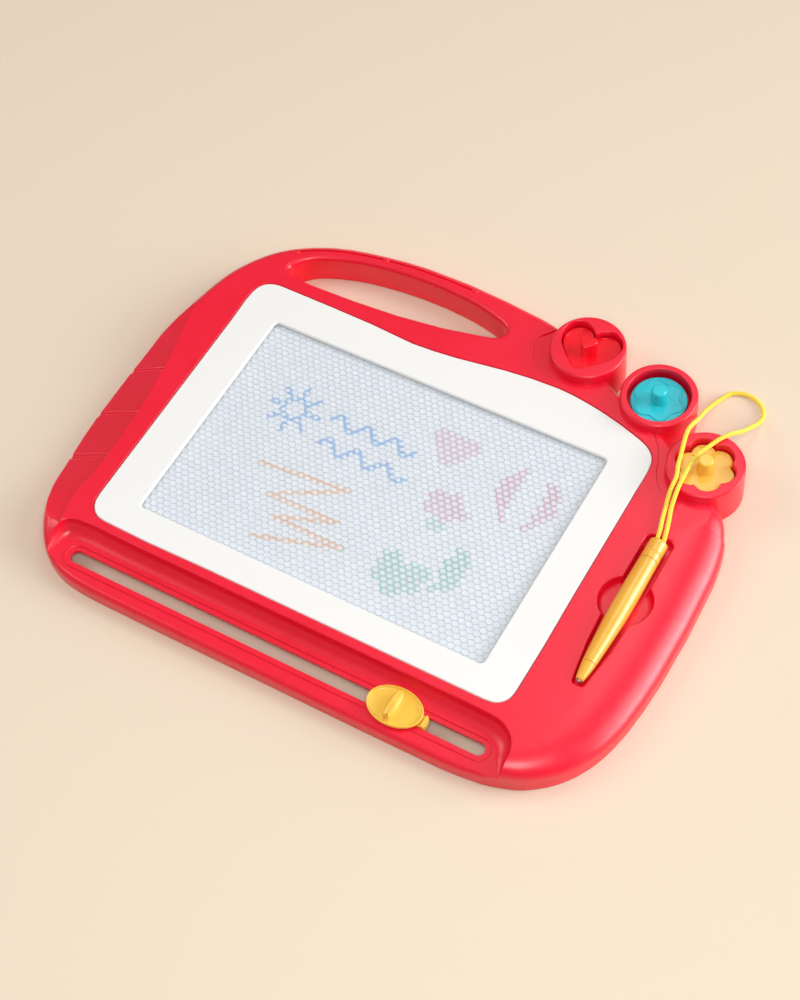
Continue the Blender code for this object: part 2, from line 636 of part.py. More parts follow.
def body_rings(outline, wall, low):
    """Rings of the shell's outer face, or with a wall those of its inner face."""
    plan = [point[:2] for point in outline]
    widths = []
    drops = []
    crowns = []
    for _, _, shoulder, lip in outline:
        edge = EDGE_RADIUS + lip * (LIP_RADIUS - EDGE_RADIUS)
        widths.append(edge + shoulder * (SHOULDER_WIDTH - edge))
        drops.append(edge + shoulder * (SHOULDER_DROP - edge))
        crowns.append(DECK_HEIGHT + lip * (LEDGE_HEIGHT + LIP_TRIM - DECK_HEIGHT))
    base = offset_loop(plan, -wall)
    rings = [level(base, low)]
    for k in range(ROUND_STEPS + 1):
        angle = QUARTER * k / ROUND_STEPS
        insets = [-(w - (w - wall) * math.cos(angle)) for w in widths]
        ring = offset_loop(plan, insets)
        heights = [c - d + (d - wall) * math.sin(angle) for c, d in zip(crowns, drops)]
        rings.append([(p[0], p[1], z) for p, z in zip(ring, heights)])
    inner = offset_loop(plan, [-(w + DECK_RUN) for w in widths])
    rings.append(level(inner, DECK_HEIGHT - wall))
    return rings


def bezel_outline():
    return smooth_loop([(BEZEL_X + sx * BEZEL_WIDTH, BEZEL_Y + sy * BEZEL_DEPTH)
                        for sx, sy in BEZEL_SHARES])


def sheet_outline(margin):
    return rounded_box(SCREEN_X, SCREEN_Y, SHEET_WIDTH + 2 * margin, SHEET_HEIGHT + 2 * margin,
                       SCREEN_CORNER)


def slot_outline(margin):
    width = SLOT_WIDTH + 2 * margin
    return rounded_box(SLOT_X, SLOT_Y, SLOT_LENGTH + 2 * margin, width, width / 2)


def tray_outline(margin):
    """The pen tray: straight at the cap's end, tapering to the tip's end."""
    front = TRAY_Y - TRAY_LENGTH / 2
    right = [(out * TRAY_WIDTH / 2, front + along * TRAY_LENGTH) for out, along in TRAY_SHARES]
    loop = [(TRAY_X + x, y) for x, y in right]
    loop += [(TRAY_X - x, y) for x, y in reversed(right)]
    return offset_loop(loop, margin)


def ledge_rings(wall):
    """Rings from the ledge's foot up to its edge on the deck, grown by a wall."""
    both = smooth_loop([(*on_front(*edge), *on_front(*foot)) for edge, foot in LEDGE_SHARES])
    loop = list(reversed(both))
    rings = []
    for k in range(ROUND_STEPS + 1):
        angle = QUARTER * k / ROUND_STEPS
        rise = 1 - math.cos(angle)
        mix = math.sin(angle)
        ring = [(f_x + (e_x - f_x) * mix, f_y + (e_y - f_y) * mix) for e_x, e_y, f_x, f_y in loop]
        height = LEDGE_HEIGHT + (DECK_HEIGHT - LEDGE_HEIGHT) * rise - wall
        rings.append(level(offset_loop(ring, wall), height))
    rings.append(level([p[:2] for p in rings[-1]], DECK_HEIGHT + OVERRUN))
    return rings


def grip_rows(lower):
    """Inner and outer points of the grip's sloping face, front to back, sunk by a depth."""
    rows = []
    span = GRIP_SHARES[4][0] * BOARD_WIDTH
    for (x, y, fall) in smooth_line([(*at(sx, sy), fall) for (sx, sy), fall
                                     in zip(GRIP_SHARES, GRIP_FALL_SHARES)], GRIP_STEPS):
        inside = DECK_HEIGHT - GRIP_STEP - lower
        outer_x = LEFT - OVERRUN
        outside = inside - GRIP_DROP * fall * (x - outer_x) / span
        rows.append(((x, y, inside), (outer_x, y, outside)))
    return rows


def band_rows(share, lower):
    """The part of the grip's face under one recessed band, sunk by a depth."""
    low_y = at(0, share)[1]
    rows = grip_rows(lower)
    band = []
    for y in (low_y, low_y + GRIP_BAND_WIDTH):
        inner, outer = min(rows, key=lambda row: abs(row[0][1] - y))
        band.append(((inner[0], y, inner[2]), (outer[0], y - GRIP_BAND_TILT, outer[2])))
    return band


def strip_solid(name, rows, top):
    """A solid under a flat top at a height, whose underside runs through pairs of points."""
    points = []
    for inner, outer in rows:
        points += [inner, outer, (inner[0], inner[1], top), (outer[0], outer[1], top)]
    faces = []
    for i in range(len(rows) - 1):
        a = 4 * i
        b = a + 4
        faces += [(a, b, b + 1, a + 1), (a + 2, a + 3, b + 3, b + 2),
                  (a, a + 2, b + 2, b), (a + 1, b + 1, b + 3, a + 3)]
    last = 4 * (len(rows) - 1)
    faces += [(0, 1, 3, 2), (last, last + 2, last + 3, last + 1)]
    mesh = bpy.data.meshes.new(name)
    mesh.from_pydata(points, [], faces)
    tidy = bmesh.new()
    tidy.from_mesh(mesh)
    bmesh.ops.recalc_face_normals(tidy, faces=tidy.faces)
    tidy.to_mesh(mesh)
    tidy.free()
    return add_object(name, mesh)


# The shell's cutters and inner blocks

def groove_solid(outline):
    """The thin groove along the handle's outer edge."""
    first, last = (LEFT + share * BOARD_WIDTH for share in GROOVE_SPAN_SHARES)
    plan = [point[:2] for point in outline]
    outer = midpoints(offset_loop(plan, -GROOVE_INSET))
    inner = midpoints(offset_loop(plan, -GROOVE_INSET - GROOVE_WIDTH))
    low = DECK_HEIGHT - GROOVE_DEPTH
    rows = [((*i, low), (*o, low)) for i, o in zip(inner, outer)
            if first < o[0] < last and o[1] > SCREEN_Y]
    return strip_solid("groove", rows, DECK_HEIGHT + OVERRUN)


def screw_places():
    return [at(sx, sy) for sx, sy in SCREW_SHARES]


def snap_places():
    """Middle, length and width of each of the bezel's snap tabs."""
    third = SCREEN_WIDTH / 3
    quarter = SCREEN_HEIGHT / 4
    left = BEZEL_X + SNAP_INSET
    right = BEZEL_X + BEZEL_WIDTH - SNAP_INSET
    front = BEZEL_Y + SNAP_INSET
    back = SCREEN_Y + SHEET_HEIGHT / 2 + SNAP_INSET
    tabs = []
    for side in (-1, 1):
        tabs.append((left, SCREEN_Y + side * quarter, SNAP_WIDTH, SNAP_LENGTH))
        tabs.append((right, SCREEN_Y + side * quarter, SNAP_WIDTH, SNAP_LENGTH))
        tabs.append((SCREEN_X + side * third, front, SNAP_LENGTH, SNAP_WIDTH))
        tabs.append((SCREEN_X + side * third, back, SNAP_LENGTH, SNAP_WIDTH))
    return tabs


def well_outline(kind, play):
    x, y = at(*CUP_SHARES[kind])
    if kind == "heart":
        return offset_loop(heart(x, y, HEART_WIDTH), -play)
    if kind == "flower":
        return flower(x, y, play)
    radius = WELL_RADIUS if play == 0 else ROUND_STAMP_RADIUS
    return circle(x, y, radius, ROUND_SIDES)


def shell_hollow(outline, bezel):
    """The space inside the shell: its inner face, less every part that stands in it."""
    hollow = stack("hollow", body_rings(outline, WALL, -OVERRUN))
    for kind, share in CUP_SHARES.items():
        x, y = at(*share)
        join(hollow, rod(f"cup_hollow_{kind}", x, y, -OVERRUN, WELL_FLOOR - WALL,
                         CUP_RADIUS - WALL, sides=ROUND_SIDES))
    high = DECK_HEIGHT + OVERRUN
    blocks = [
        plate("apron_block", offset_loop(smooth_apron(), WALL), DECK_HEIGHT - APRON_DROP - WALL,
              high),
        strip_solid("grip_block", grip_rows(WALL), high),
        plate("handle_block", offset_loop(handle_outline(), WALL), -2 * OVERRUN, high),
        stack("ledge_block", ledge_rings(WALL)),
        plate("tray_block", tray_outline(WALL), TRAY_FLOOR - WALL, high),
        rod("finger_block", TRAY_X, TRAY_Y + FINGER_OFFSET, TRAY_FLOOR - WALL, high,
            FINGER_RADIUS + WALL, sides=ROUND_SIDES),
        plate("bezel_block", offset_loop(bezel, WALL), BEZEL_SEAT - WALL, high),
        plate("sheet_block", sheet_outline(WALL), FLANGE_UNDER, high),
    ]
    for kind, share in CUP_SHARES.items():
        x, y = at(*share)
        blocks.append(rod(f"well_block_{kind}", x, y, WELL_FLOOR - WALL, high,
                          CUP_RADIUS - WALL / 2, sides=ROUND_SIDES))
    for number, (x, y) in enumerate(screw_places(), 1):
        blocks.append(rod(f"boss_{number}", x, y, SEAT_HEIGHT + GAP, high, BOSS_RADIUS))
    cut(hollow, *blocks)
    return hollow


def handle_outline():
    return smooth_loop([at(sx, sy) for sx, sy in HANDLE_SHARES])


def front_shell(finish, outline, bezel):
    """The red moulding: deck, handle, grip, front ledge, cups and pen tray."""
    shell = stack("front_shell", body_rings(outline, 0, -OVERRUN), finish)
    cut(shell,
        plate("apron_cut", smooth_apron(), DECK_HEIGHT - APRON_DROP, DECK_HEIGHT + OVERRUN),
        strip_solid("grip_cut", grip_rows(0), DECK_HEIGHT + OVERRUN))
    for number, share in enumerate(GRIP_BAND_SHARES, 1):
        cut(shell, strip_solid(f"band_{number}", band_rows(share, GRIP_BAND_DEPTH),
                               DECK_HEIGHT + OVERRUN))
    cut(shell, groove_solid(outline))
    for kind, share in CUP_SHARES.items():
        x, y = at(*share)
        join(shell, plate(f"cup_{kind}", circle(x, y, CUP_RADIUS, ROUND_SIDES), -2 * OVERRUN,
                          CUP_TOP, edge=CUP_EDGE))
    cut(shell, block("rim_cut", 0, 0, -3 * OVERRUN, 2 * BOARD_WIDTH, 2 * BOARD_REACH,
                     RIM_LIFT + 3 * OVERRUN))
    cut(shell, shell_hollow(outline, bezel))
    cut(shell, stack("ledge_cut", ledge_rings(0)))
    join(shell, plate("collar", slot_outline(COLLAR_WIDTH), LEDGE_HEIGHT - WALL / 2, COLLAR_TOP,
                      edge=COLLAR_RISE / 2))
    cut(shell, plate("slot_cut", slot_outline(0), LEDGE_UNDER - OVERRUN, COLLAR_TOP + OVERRUN))
    cut(shell, recess("handle_cut", handle_outline(), -OVERRUN, DECK_HEIGHT, HANDLE_EDGE))
    cut(shell,
        plate("bezel_cut", offset_loop(bezel, GAP), BEZEL_SEAT, DECK_HEIGHT + OVERRUN),
        plate("sheet_cut", sheet_outline(GAP), FLANGE_TOP, DECK_HEIGHT),
        plate("eraser_opening", sheet_outline(-FLANGE), FLANGE_UNDER - OVERRUN, DECK_HEIGHT))
    for number, (x, y, length, width) in enumerate(snap_places(), 1):
        cut(shell, block(f"snap_slot_{number}", x, y, BEZEL_SEAT - WALL - OVERRUN,
                         length + 2 * GAP, width + 2 * GAP, WALL + 2 * OVERRUN))
    cut(shell,
        recess("tray_cut", tray_outline(0), TRAY_FLOOR, DECK_HEIGHT, TRAY_EDGE),
        recess("finger_cut", circle(TRAY_X, TRAY_Y + FINGER_OFFSET, FINGER_RADIUS, ROUND_SIDES),
               TRAY_FLOOR, DECK_HEIGHT, TRAY_EDGE))
    for kind in CUP_SHARES:
        cut(shell, plate(f"well_{kind}", well_outline(kind, 0), WELL_FLOOR, CUP_TOP + OVERRUN))
    for number, (x, y) in enumerate(screw_places(), 1):
        cut(shell, rod(f"pilot_{number}", x, y, -OVERRUN, SEAT_FLOOR + SCREW_LENGTH,
                       SCREW_RADIUS + GAP))
    return shell


def smooth_apron():
    """The apron's outline: smooth round the cups, square beyond the board."""
    edge = smooth_line([at(sx, sy) for sx, sy in APRON_SHARES[:-1]], GRIP_STEPS)
    return edge + [at(*APRON_SHARES[-1])]


# The back cover

def back_cover(finish, outline):
    """The closing plate, inside the shell's walls, with ribs, screw seats and the eraser's rail."""
    plan = offset_loop([point[:2] for point in outline], -WALL - GAP)
    cover = plate("back_cover", plan, 0, COVER_THICKNESS, finish, lower_edge=COVER_EDGE)
    for kind, share in CUP_SHARES.items():
        x, y = at(*share)
        join(cover, plate(f"cup_cover_{kind}", circle(x, y, CUP_RADIUS - WALL - GAP, ROUND_SIDES),
                          0, COVER_THICKNESS, lower_edge=COVER_EDGE))
    for side in (-1, 1):
        y = RAIL_Y + side * (SHOE_WIDTH + RAIL_THICKNESS + 2 * GAP) / 2
        join(cover, block(f"rail_{side}", SLOT_X, y, COVER_THICKNESS / 2, RAIL_LENGTH,
                          RAIL_THICKNESS, RAIL_HEIGHT + COVER_THICKNESS / 2))
    for step in (-1, 0, 1):
        join(cover, block(f"rib_{step}", SCREEN_X, SCREEN_Y + step * RIB_SPACING,
                          COVER_THICKNESS / 2, SCREEN_WIDTH + 2 * BEZEL_RIGHT, RIB_THICKNESS,
                          RIB_HEIGHT + COVER_THICKNESS / 2))
    for step in (-2, -1, 0, 1, 2):
        join(cover, block(f"cross_rib_{step}", SCREEN_X + step * RIB_SPACING, SCREEN_Y,
                          COVER_THICKNESS / 2, RIB_THICKNESS, SCREEN_HEIGHT,
                          RIB_HEIGHT + COVER_THICKNESS / 2))
    for number, (x, y) in enumerate(screw_places(), 1):
        join(cover, rod(f"seat_{number}", x, y, COVER_THICKNESS / 2, SEAT_HEIGHT, SEAT_RADIUS))
    cut(cover, plate("handle_window", offset_loop(handle_outline(), WALL + GAP), -OVERRUN,
                     COVER_THICKNESS + OVERRUN))
    cut(cover, plate("slider_window",
                     rounded_box(SLOT_X, SLOT_Y, SLOT_LENGTH + 2 * BACK_SLOT_MARGIN, BACK_SLOT_WIDTH,
                                 BACK_SLOT_WIDTH / 4),
                     -OVERRUN, COVER_THICKNESS + OVERRUN))
    for number, (x, y) in enumerate(screw_places(), 1):
        cut(cover, rod(f"head_hollow_{number}", x, y, -OVERRUN, SEAT_FLOOR, SCREW_HEAD_RADIUS + GAP))
        cut(cover, rod(f"screw_hole_{number}", x, y, -OVERRUN, SEAT_HEIGHT + OVERRUN,
                       SCREW_RADIUS + GAP))
    return cover


def screw(name, x, y, head_top, head_radius, head_height, radius, length, finish):
    """A screw driven upwards; its head hangs below the height head_top."""
    rings = [level(circle(x, y, head_radius * SCREW_TAPER_SHARE, SMALL_SIDES), head_top - head_height),
             level(circle(x, y, head_radius, SMALL_SIDES), head_top - head_height / 2),
             level(circle(x, y, head_radius, SMALL_SIDES), head_top),
             level(circle(x, y, radius, SMALL_SIDES), head_top),
             level(circle(x, y, radius, SMALL_SIDES), head_top + length - 2 * radius),
             level(circle(x, y, radius / 3, SMALL_SIDES), head_top + length)]
    return stack(name, rings, finish)


# Screen and bezel

def screen(bezel, white, film, comb):
    frame = plate("bezel", bezel, BEZEL_SEAT + GAP, DECK_HEIGHT, white, edge=BEZEL_EDGE)
    for number, (x, y, length, width) in enumerate(snap_places(), 1):
        join(frame, block(f"snap_{number}", x, y, DECK_HEIGHT - SNAP_DEPTH - BEZEL_THICKNESS,
                          length, width, SNAP_DEPTH + BEZEL_THICKNESS / 2))
    cut(frame, recess("window",
                      rounded_box(SCREEN_X, SCREEN_Y, SCREEN_WIDTH, SCREEN_HEIGHT, SCREEN_CORNER),
                      BEZEL_SEAT - OVERRUN, DECK_HEIGHT, WINDOW_SLOPE))
    top = SHEET_TOP
    for name, thickness, finish in (("screen_front_film", FILM_THICKNESS, film),
                                    ("screen_honeycomb", HONEYCOMB_THICKNESS, comb),
                                    ("screen_back_film", FILM_THICKNESS, film)):
        plate(name, sheet_outline(0), top - thickness, top, finish)
        top -= thickness + FILM_GAP


# Slider and eraser

def slider_knob(finish):
    """An oval dish with a finger fin, on a post that snaps into the carriage."""
    insets = ((KNOB_CHAMFER, 0), (0, KNOB_CHAMFER), (0, KNOB_HEIGHT - KNOB_BEVEL),
              (KNOB_BEVEL, KNOB_HEIGHT), (KNOB_RIM, KNOB_HEIGHT),
              (2 * KNOB_RIM, KNOB_BASE + KNOB_BEVEL), (5 * KNOB_RIM, KNOB_BASE))
    rings = [level(oval(KNOB_X, SLOT_Y, KNOB_LENGTH - 2 * inset, KNOB_WIDTH - 2 * inset,
                        ROUND_SIDES), KNOB_UNDER + rise) for inset, rise in insets]
    knob = stack("slider_knob", rings, finish)
    join(knob,
         plate("fin", oval(KNOB_X, SLOT_Y, FIN_WIDTH, FIN_LENGTH, ROUND_SIDES // 2),
               KNOB_UNDER + KNOB_BASE / 2, KNOB_UNDER + FIN_HEIGHT, edge=FIN_WIDTH / 3),
         rod("post", KNOB_X, SLOT_Y, KNOB_UNDER - POST_LENGTH, KNOB_UNDER + KNOB_BASE / 2,
             POST_RADIUS))
    return knob


def slider_carriage(finish):
    """The block that runs in the slot: a neck with an end tab, over a foot under the ledge."""
    neck = rounded_box(NECK_X, SLOT_Y, NECK_LENGTH, SLOT_WIDTH - 2 * GAP, NECK_CORNER)
    carriage = plate("slider_carriage", neck, FOOT_UNDER + FOOT_THICKNESS / 2, KNOB_UNDER - GAP, finish)
    tab_x = NECK_X + NECK_LENGTH / 2 - TAB_THICKNESS
    join(carriage,
         plate("foot", rounded_box(NECK_X, SLOT_Y, FOOT_LENGTH, FOOT_WIDTH, NECK_CORNER),
               FOOT_UNDER, FOOT_TOP),
         block("tab", tab_x, SLOT_Y, LEDGE_HEIGHT, TAB_THICKNESS, SLOT_WIDTH - 2 * GAP,
               COLLAR_TOP + TAB_RISE - LEDGE_HEIGHT))
    cut(carriage, rod("post_bore", KNOB_X, SLOT_Y, KNOB_UNDER - POST_LENGTH - GAP,
                      KNOB_UNDER + OVERRUN, POST_RADIUS + GAP))
    for number, x in enumerate(arm_screw_places(), 1):
        cut(carriage, rod(f"foot_pilot_{number}", x, SLOT_Y, FOOT_UNDER - OVERRUN,
                          TONGUE_UNDER - GAP + SMALL_SCREW_LENGTH + GAP, SMALL_SCREW_RADIUS + GAP))
    return carriage


def arm_screw_places():
    reach = TONGUE_LENGTH / 2 - 2 * SMALL_SCREW_HEAD_RADIUS
    return NECK_X - reach, NECK_X + reach


def eraser_arm(finish):
    """The arm behind the screen: a tongue under the foot, a web, a tray for the magnet, a shoe."""
    front = SLOT_Y - FOOT_WIDTH / 2
    low_end = SLOT_Y + ARM_LOW_REACH
    back = RAIL_Y + SHOE_WIDTH / 2
    tray_front = SCREEN_Y - STRIP_LENGTH / 2 - GAP - ARM_LIP
    tray_back = SCREEN_Y + STRIP_LENGTH / 2 + GAP + ARM_LIP
    arm = block("eraser_arm", NECK_X, (front + SLOT_Y + TONGUE_REACH) / 2, TONGUE_UNDER,
                TONGUE_LENGTH, SLOT_Y + TONGUE_REACH - front, TONGUE_THICKNESS, finish)
    join(arm,
         block("arm_low_web", NECK_X, (SLOT_Y + TONGUE_REACH / 2 + low_end + ARM_LIP) / 2,
               TONGUE_UNDER, 2 * ARM_WEB, low_end + ARM_LIP - SLOT_Y - TONGUE_REACH / 2,
               TONGUE_THICKNESS),
         block("arm_rise", NECK_X, low_end + ARM_WEB / 2, TONGUE_UNDER, 2 * ARM_WEB, ARM_WEB,
               ARM_WEB_TOP + ARM_PLATE / 2 - TONGUE_UNDER),
         block("arm_web", NECK_X, (low_end + back) / 2, ARM_WEB_UNDER, ARM_WEB, back - low_end,
               ARM_WEB_TOP + ARM_PLATE / 2 - ARM_WEB_UNDER),
         block("arm_plate", NECK_X, (low_end + back) / 2, ARM_WEB_TOP, ARM_WIDTH, back - low_end,
               ARM_PLATE))
    for side in (-1, 1):
        join(arm, block(f"arm_lip_{side}", NECK_X + side * (ARM_WIDTH - ARM_LIP) / 2,
                        SCREEN_Y, ARM_WEB_TOP + ARM_PLATE / 2, ARM_LIP,
                        tray_back - tray_front, ARM_PLATE / 2 + GAP + ARM_LIP))
    join(arm, block("shoe", NECK_X, RAIL_Y, COVER_THICKNESS + GAP, SHOE_LENGTH, SHOE_WIDTH,
                    ARM_WEB_TOP + ARM_PLATE / 2 - COVER_THICKNESS - GAP))
    for number, x in enumerate(arm_screw_places(), 1):
        cut(arm, rod(f"tongue_hole_{number}", x, SLOT_Y, TONGUE_UNDER - OVERRUN,
                     TONGUE_TOP + OVERRUN, SMALL_SCREW_RADIUS + GAP))
    return arm


def eraser_magnet(finish):
    width = ARM_WIDTH - 2 * ARM_LIP - 2 * GAP
    return block("eraser_magnet", NECK_X, SCREEN_Y, STRIP_UNDER, width, STRIP_LENGTH,
                 MAGNET_STRIP_THICKNESS, finish)


# Stamps

def stamp(kind, finish):
    """A shaped plate with a finger knob on top and a seat for its magnet underneath."""
    x, y = at(*CUP_SHARES[kind])
    body = plate(f"stamp_{kind}", well_outline(kind, STAMP_PLAY), STAMP_BASE, STAMP_TOP, finish,
                 edge=STAMP_EDGE)
    if kind == "heart":
        knob = plate("knob_heart", heart(x, y, HEART_KNOB_WIDTH), STAMP_TOP - STAMP_EDGE,
                     STAMP_TOP + STAMP_KNOB_HEIGHT, edge=STAMP_EDGE / 2)
    else:
        foot = circle(x, y, STAMP_KNOB_RADIUS, SMALL_SIDES + 4)
        head = circle(x, y, STAMP_KNOB_RADIUS - STAMP_KNOB_DRAFT, SMALL_SIDES + 4)
        crown = offset_loop(head, -STAMP_EDGE)
        high = STAMP_TOP + STAMP_KNOB_HEIGHT
        knob = stack(f"knob_{kind}", [level(foot, STAMP_TOP - STAMP_EDGE),
                                      level(head, high - STAMP_EDGE), level(crown, high)])
    join(body, knob)
    cut(body, rod(f"magnet_seat_{kind}", x, y, STAMP_BASE - OVERRUN,
                  STAMP_BASE + MAGNET_THICKNESS + GAP, MAGNET_RADIUS + GAP, sides=ROUND_SIDES))
    return body


def stamp_magnet(kind, finish):
    x, y = at(*CUP_SHARES[kind])
    return rod(f"stamp_{kind}_magnet", x, y, STAMP_BASE, STAMP_BASE + MAGNET_THICKNESS,
               MAGNET_RADIUS, finish, sides=ROUND_SIDES)


# Pen and cord

def turned(name, profile, finish=None, x=0.0, sides=SMALL_SIDES):
    """A round solid about the pen's axis; the profile runs from tip to cap as y and radius."""
    rings = [[(TRAY_X + x + radius * math.sin(TURN * i / sides), y,
               PEN_HEIGHT + radius * math.cos(TURN * i / sides)) for i in range(sides)]
             for y, radius in profile]
    return stack(name, rings, finish)


def pen_profile(shares):
    return [(PEN_TOP_Y - along * PEN_LENGTH, out * PEN_RADIUS) for along, out in reversed(shares)]


def pen(yellow, steel):
    """Cap, barrel and tip plug into one another, and the tip holds a magnet nib."""
    cap = turned("pen_cap", pen_profile(CAP_SHARES), yellow)
    joint = PEN_TOP_Y - CAP_SHARES[-1][0] * PEN_LENGTH
    join(cap, turned("cap_spigot", [(joint - SPIGOT_LENGTH, CAP_SPIGOT_RADIUS),
                                    (joint + OVERRUN / 2, CAP_SPIGOT_RADIUS)]))
    for side in (-1, 1):
        cut(cap, turned(f"cord_hole_{side}",
                        [(PEN_TOP_Y - CORD_SEAT, CORD_DIAMETER / 2 + FILM_GAP),
                         (PEN_TOP_Y + OVERRUN, CORD_DIAMETER / 2 + FILM_GAP)],
                        x=side * CORD_SPREAD / 2))
    barrel = turned("pen_barrel", pen_profile(BARREL_SHARES), yellow)
    back = PEN_TOP_Y - BARREL_SHARES[0][0] * PEN_LENGTH
    front = PEN_TOP_Y - BARREL_SHARES[-1][0] * PEN_LENGTH
    cut(barrel,
        turned("cap_socket", [(back - SPIGOT_LENGTH - 2 * GAP, CAP_SPIGOT_RADIUS + GAP),
                              (back + OVERRUN, CAP_SPIGOT_RADIUS + GAP)]),
        turned("tip_socket", [(front - OVERRUN, TIP_SPIGOT_RADIUS + GAP),
                              (front + SPIGOT_LENGTH + 2 * GAP, TIP_SPIGOT_RADIUS + GAP)]))
    tip = turned("pen_tip", pen_profile(TIP_SHARES), yellow)
    seat = PEN_TOP_Y - TIP_SHARES[0][0] * PEN_LENGTH
    end = PEN_TOP_Y - TIP_SHARES[-1][0] * PEN_LENGTH
    join(tip, turned("tip_spigot", [(seat - OVERRUN / 4, TIP_SPIGOT_RADIUS),
                                    (seat + SPIGOT_LENGTH, TIP_SPIGOT_RADIUS)]))
    cut(tip, turned("nib_hole", [(end - OVERRUN, NIB_RADIUS + GAP),
                                 (end + NIB_DEPTH, NIB_RADIUS + GAP)]))
    nib_end = PEN_TOP_Y - PEN_LENGTH
    nib = turned("pen_nib", [(nib_end, NIB_RADIUS / 2), (nib_end + NIB_RADIUS / 2, NIB_RADIUS),
                             (end + NIB_DEPTH - GAP, NIB_RADIUS)], steel)
    return [cap, barrel, tip, nib]


def cord_line():
    """The tube's points; each end runs straight into the cap."""
    free = smooth_line(CORD_ROUTE[1:-1], CORD_STEPS)
    even = even_line(free, CORD_SPACING_DIAMETERS * CORD_DIAMETER)
    return [CORD_ROUTE[0], *even, CORD_ROUTE[-1]]


def pen_cord(finish):
    """A round cord along its route, both ends in the cap."""
    curve = bpy.data.curves.new("pen_cord", "CURVE")
    curve.dimensions = "3D"
    curve.bevel_depth = CORD_DIAMETER / 2
    curve.bevel_resolution = 2
    curve.use_fill_caps = True
    line = cord_line()
    spline = curve.splines.new("POLY")
    spline.points.add(len(line) - 1)
    for point, place in zip(spline.points, line):
        point.co = (*place, 1.0)
    curve.materials.append(material("pen_cord", *finish))
    cord = bpy.data.objects.new("pen_cord", curve)
    bpy.context.scene.collection.objects.link(cord)
    length = sum(math.dist(a, b) for a, b in zip(line, line[1:]))
    print(f"Cord: {length:.4f} m in {len(line)} points")
    return cord


def carry(name, place, pieces):
    """Hang pieces that move together from an empty on their joint's axis, where they are."""
    empty = bpy.data.objects.new(name, None)
    empty.location = place
    bpy.context.scene.collection.objects.link(empty)
    for piece in pieces:
        piece.parent = empty
        piece.matrix_parent_inverse = Matrix.Translation(place).inverted()


def main():
    for thing in list(bpy.data.objects):
        bpy.data.objects.remove(thing)
    outline = board_outline()
    bezel = bezel_outline()
    front_shell(RED_PLASTIC, outline, bezel)
    back_cover(RED_PLASTIC, outline)
    screen(bezel, WHITE_PLASTIC, CLEAR_FILM, SCREEN_CELLS)
    for number, (x, y) in enumerate(screw_places(), 1):
        screw(f"cover_screw_{number}", x, y, SEAT_FLOOR - GAP, SCREW_HEAD_RADIUS,
              SCREW_HEAD_HEIGHT, SCREW_RADIUS, SCREW_LENGTH, STEEL)

    slider = [slider_knob(YELLOW_PLASTIC), slider_carriage(YELLOW_PLASTIC),
              eraser_arm(WHITE_PLASTIC), eraser_magnet(FERRITE)]
    for number, x in enumerate(arm_screw_places(), 1):
        slider.append(screw(f"arm_screw_{number}", x, SLOT_Y, TONGUE_UNDER - GAP,
                            SMALL_SCREW_HEAD_RADIUS, SMALL_SCREW_HEAD_HEIGHT, SMALL_SCREW_RADIUS,
                            SMALL_SCREW_LENGTH, STEEL))
    carry("eraser_slide", (NECK_X, SLOT_Y, LEDGE_HEIGHT), slider)

    for kind, finish in (("heart", RUBY_PLASTIC), ("round", TEAL_PLASTIC),
                         ("flower", YELLOW_PLASTIC)):
        carry(f"{kind}_lift", (*at(*CUP_SHARES[kind]), STAMP_BASE),
              [stamp(kind, finish), stamp_magnet(kind, FERRITE)])
    carry("pen_lift", (TRAY_X, TRAY_Y, PEN_HEIGHT),
          pen(YELLOW_PLASTIC, STEEL) + [pen_cord(YELLOW_BRAID)])


main()
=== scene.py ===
"""Looks of a kids drawing board round its CAD frame: camera, light, surfaces, materials."""
import math

import bpy
import bmesh
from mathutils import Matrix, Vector
from mathutils.bvhtree import BVHTree


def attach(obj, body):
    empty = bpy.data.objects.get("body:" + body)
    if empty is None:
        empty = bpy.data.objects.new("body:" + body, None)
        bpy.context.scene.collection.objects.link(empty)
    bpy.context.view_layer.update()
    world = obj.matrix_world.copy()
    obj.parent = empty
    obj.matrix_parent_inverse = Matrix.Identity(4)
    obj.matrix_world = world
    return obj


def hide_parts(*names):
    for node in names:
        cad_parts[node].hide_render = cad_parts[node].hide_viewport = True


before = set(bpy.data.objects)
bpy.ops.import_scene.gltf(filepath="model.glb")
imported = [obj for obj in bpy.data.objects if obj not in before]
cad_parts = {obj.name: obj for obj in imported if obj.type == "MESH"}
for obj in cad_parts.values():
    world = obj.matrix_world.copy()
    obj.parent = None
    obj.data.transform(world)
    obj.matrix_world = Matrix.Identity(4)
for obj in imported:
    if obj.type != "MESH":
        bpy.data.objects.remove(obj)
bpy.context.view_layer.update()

# Fineness of the surfaces
FACET_ANGLE = math.radians(3.5)
SHARP_ANGLE = math.radians(32)
POINT_GAP = 0.00003           # points nearer than this are one
ROUND_SIDES = 96
ROUND_STEPS = 6
GRIP_STEPS = 8
LOBE_SIDES = 20
ROUNDING_SHARE = 0.45         # most of a side that a rounded corner takes
OVERRUN = 0.006               # how far a cutter reaches past a face
GAP = 0.0003                  # play between two pieces
MM = 0.001
TURN = 2 * math.pi
QUARTER = math.pi / 2

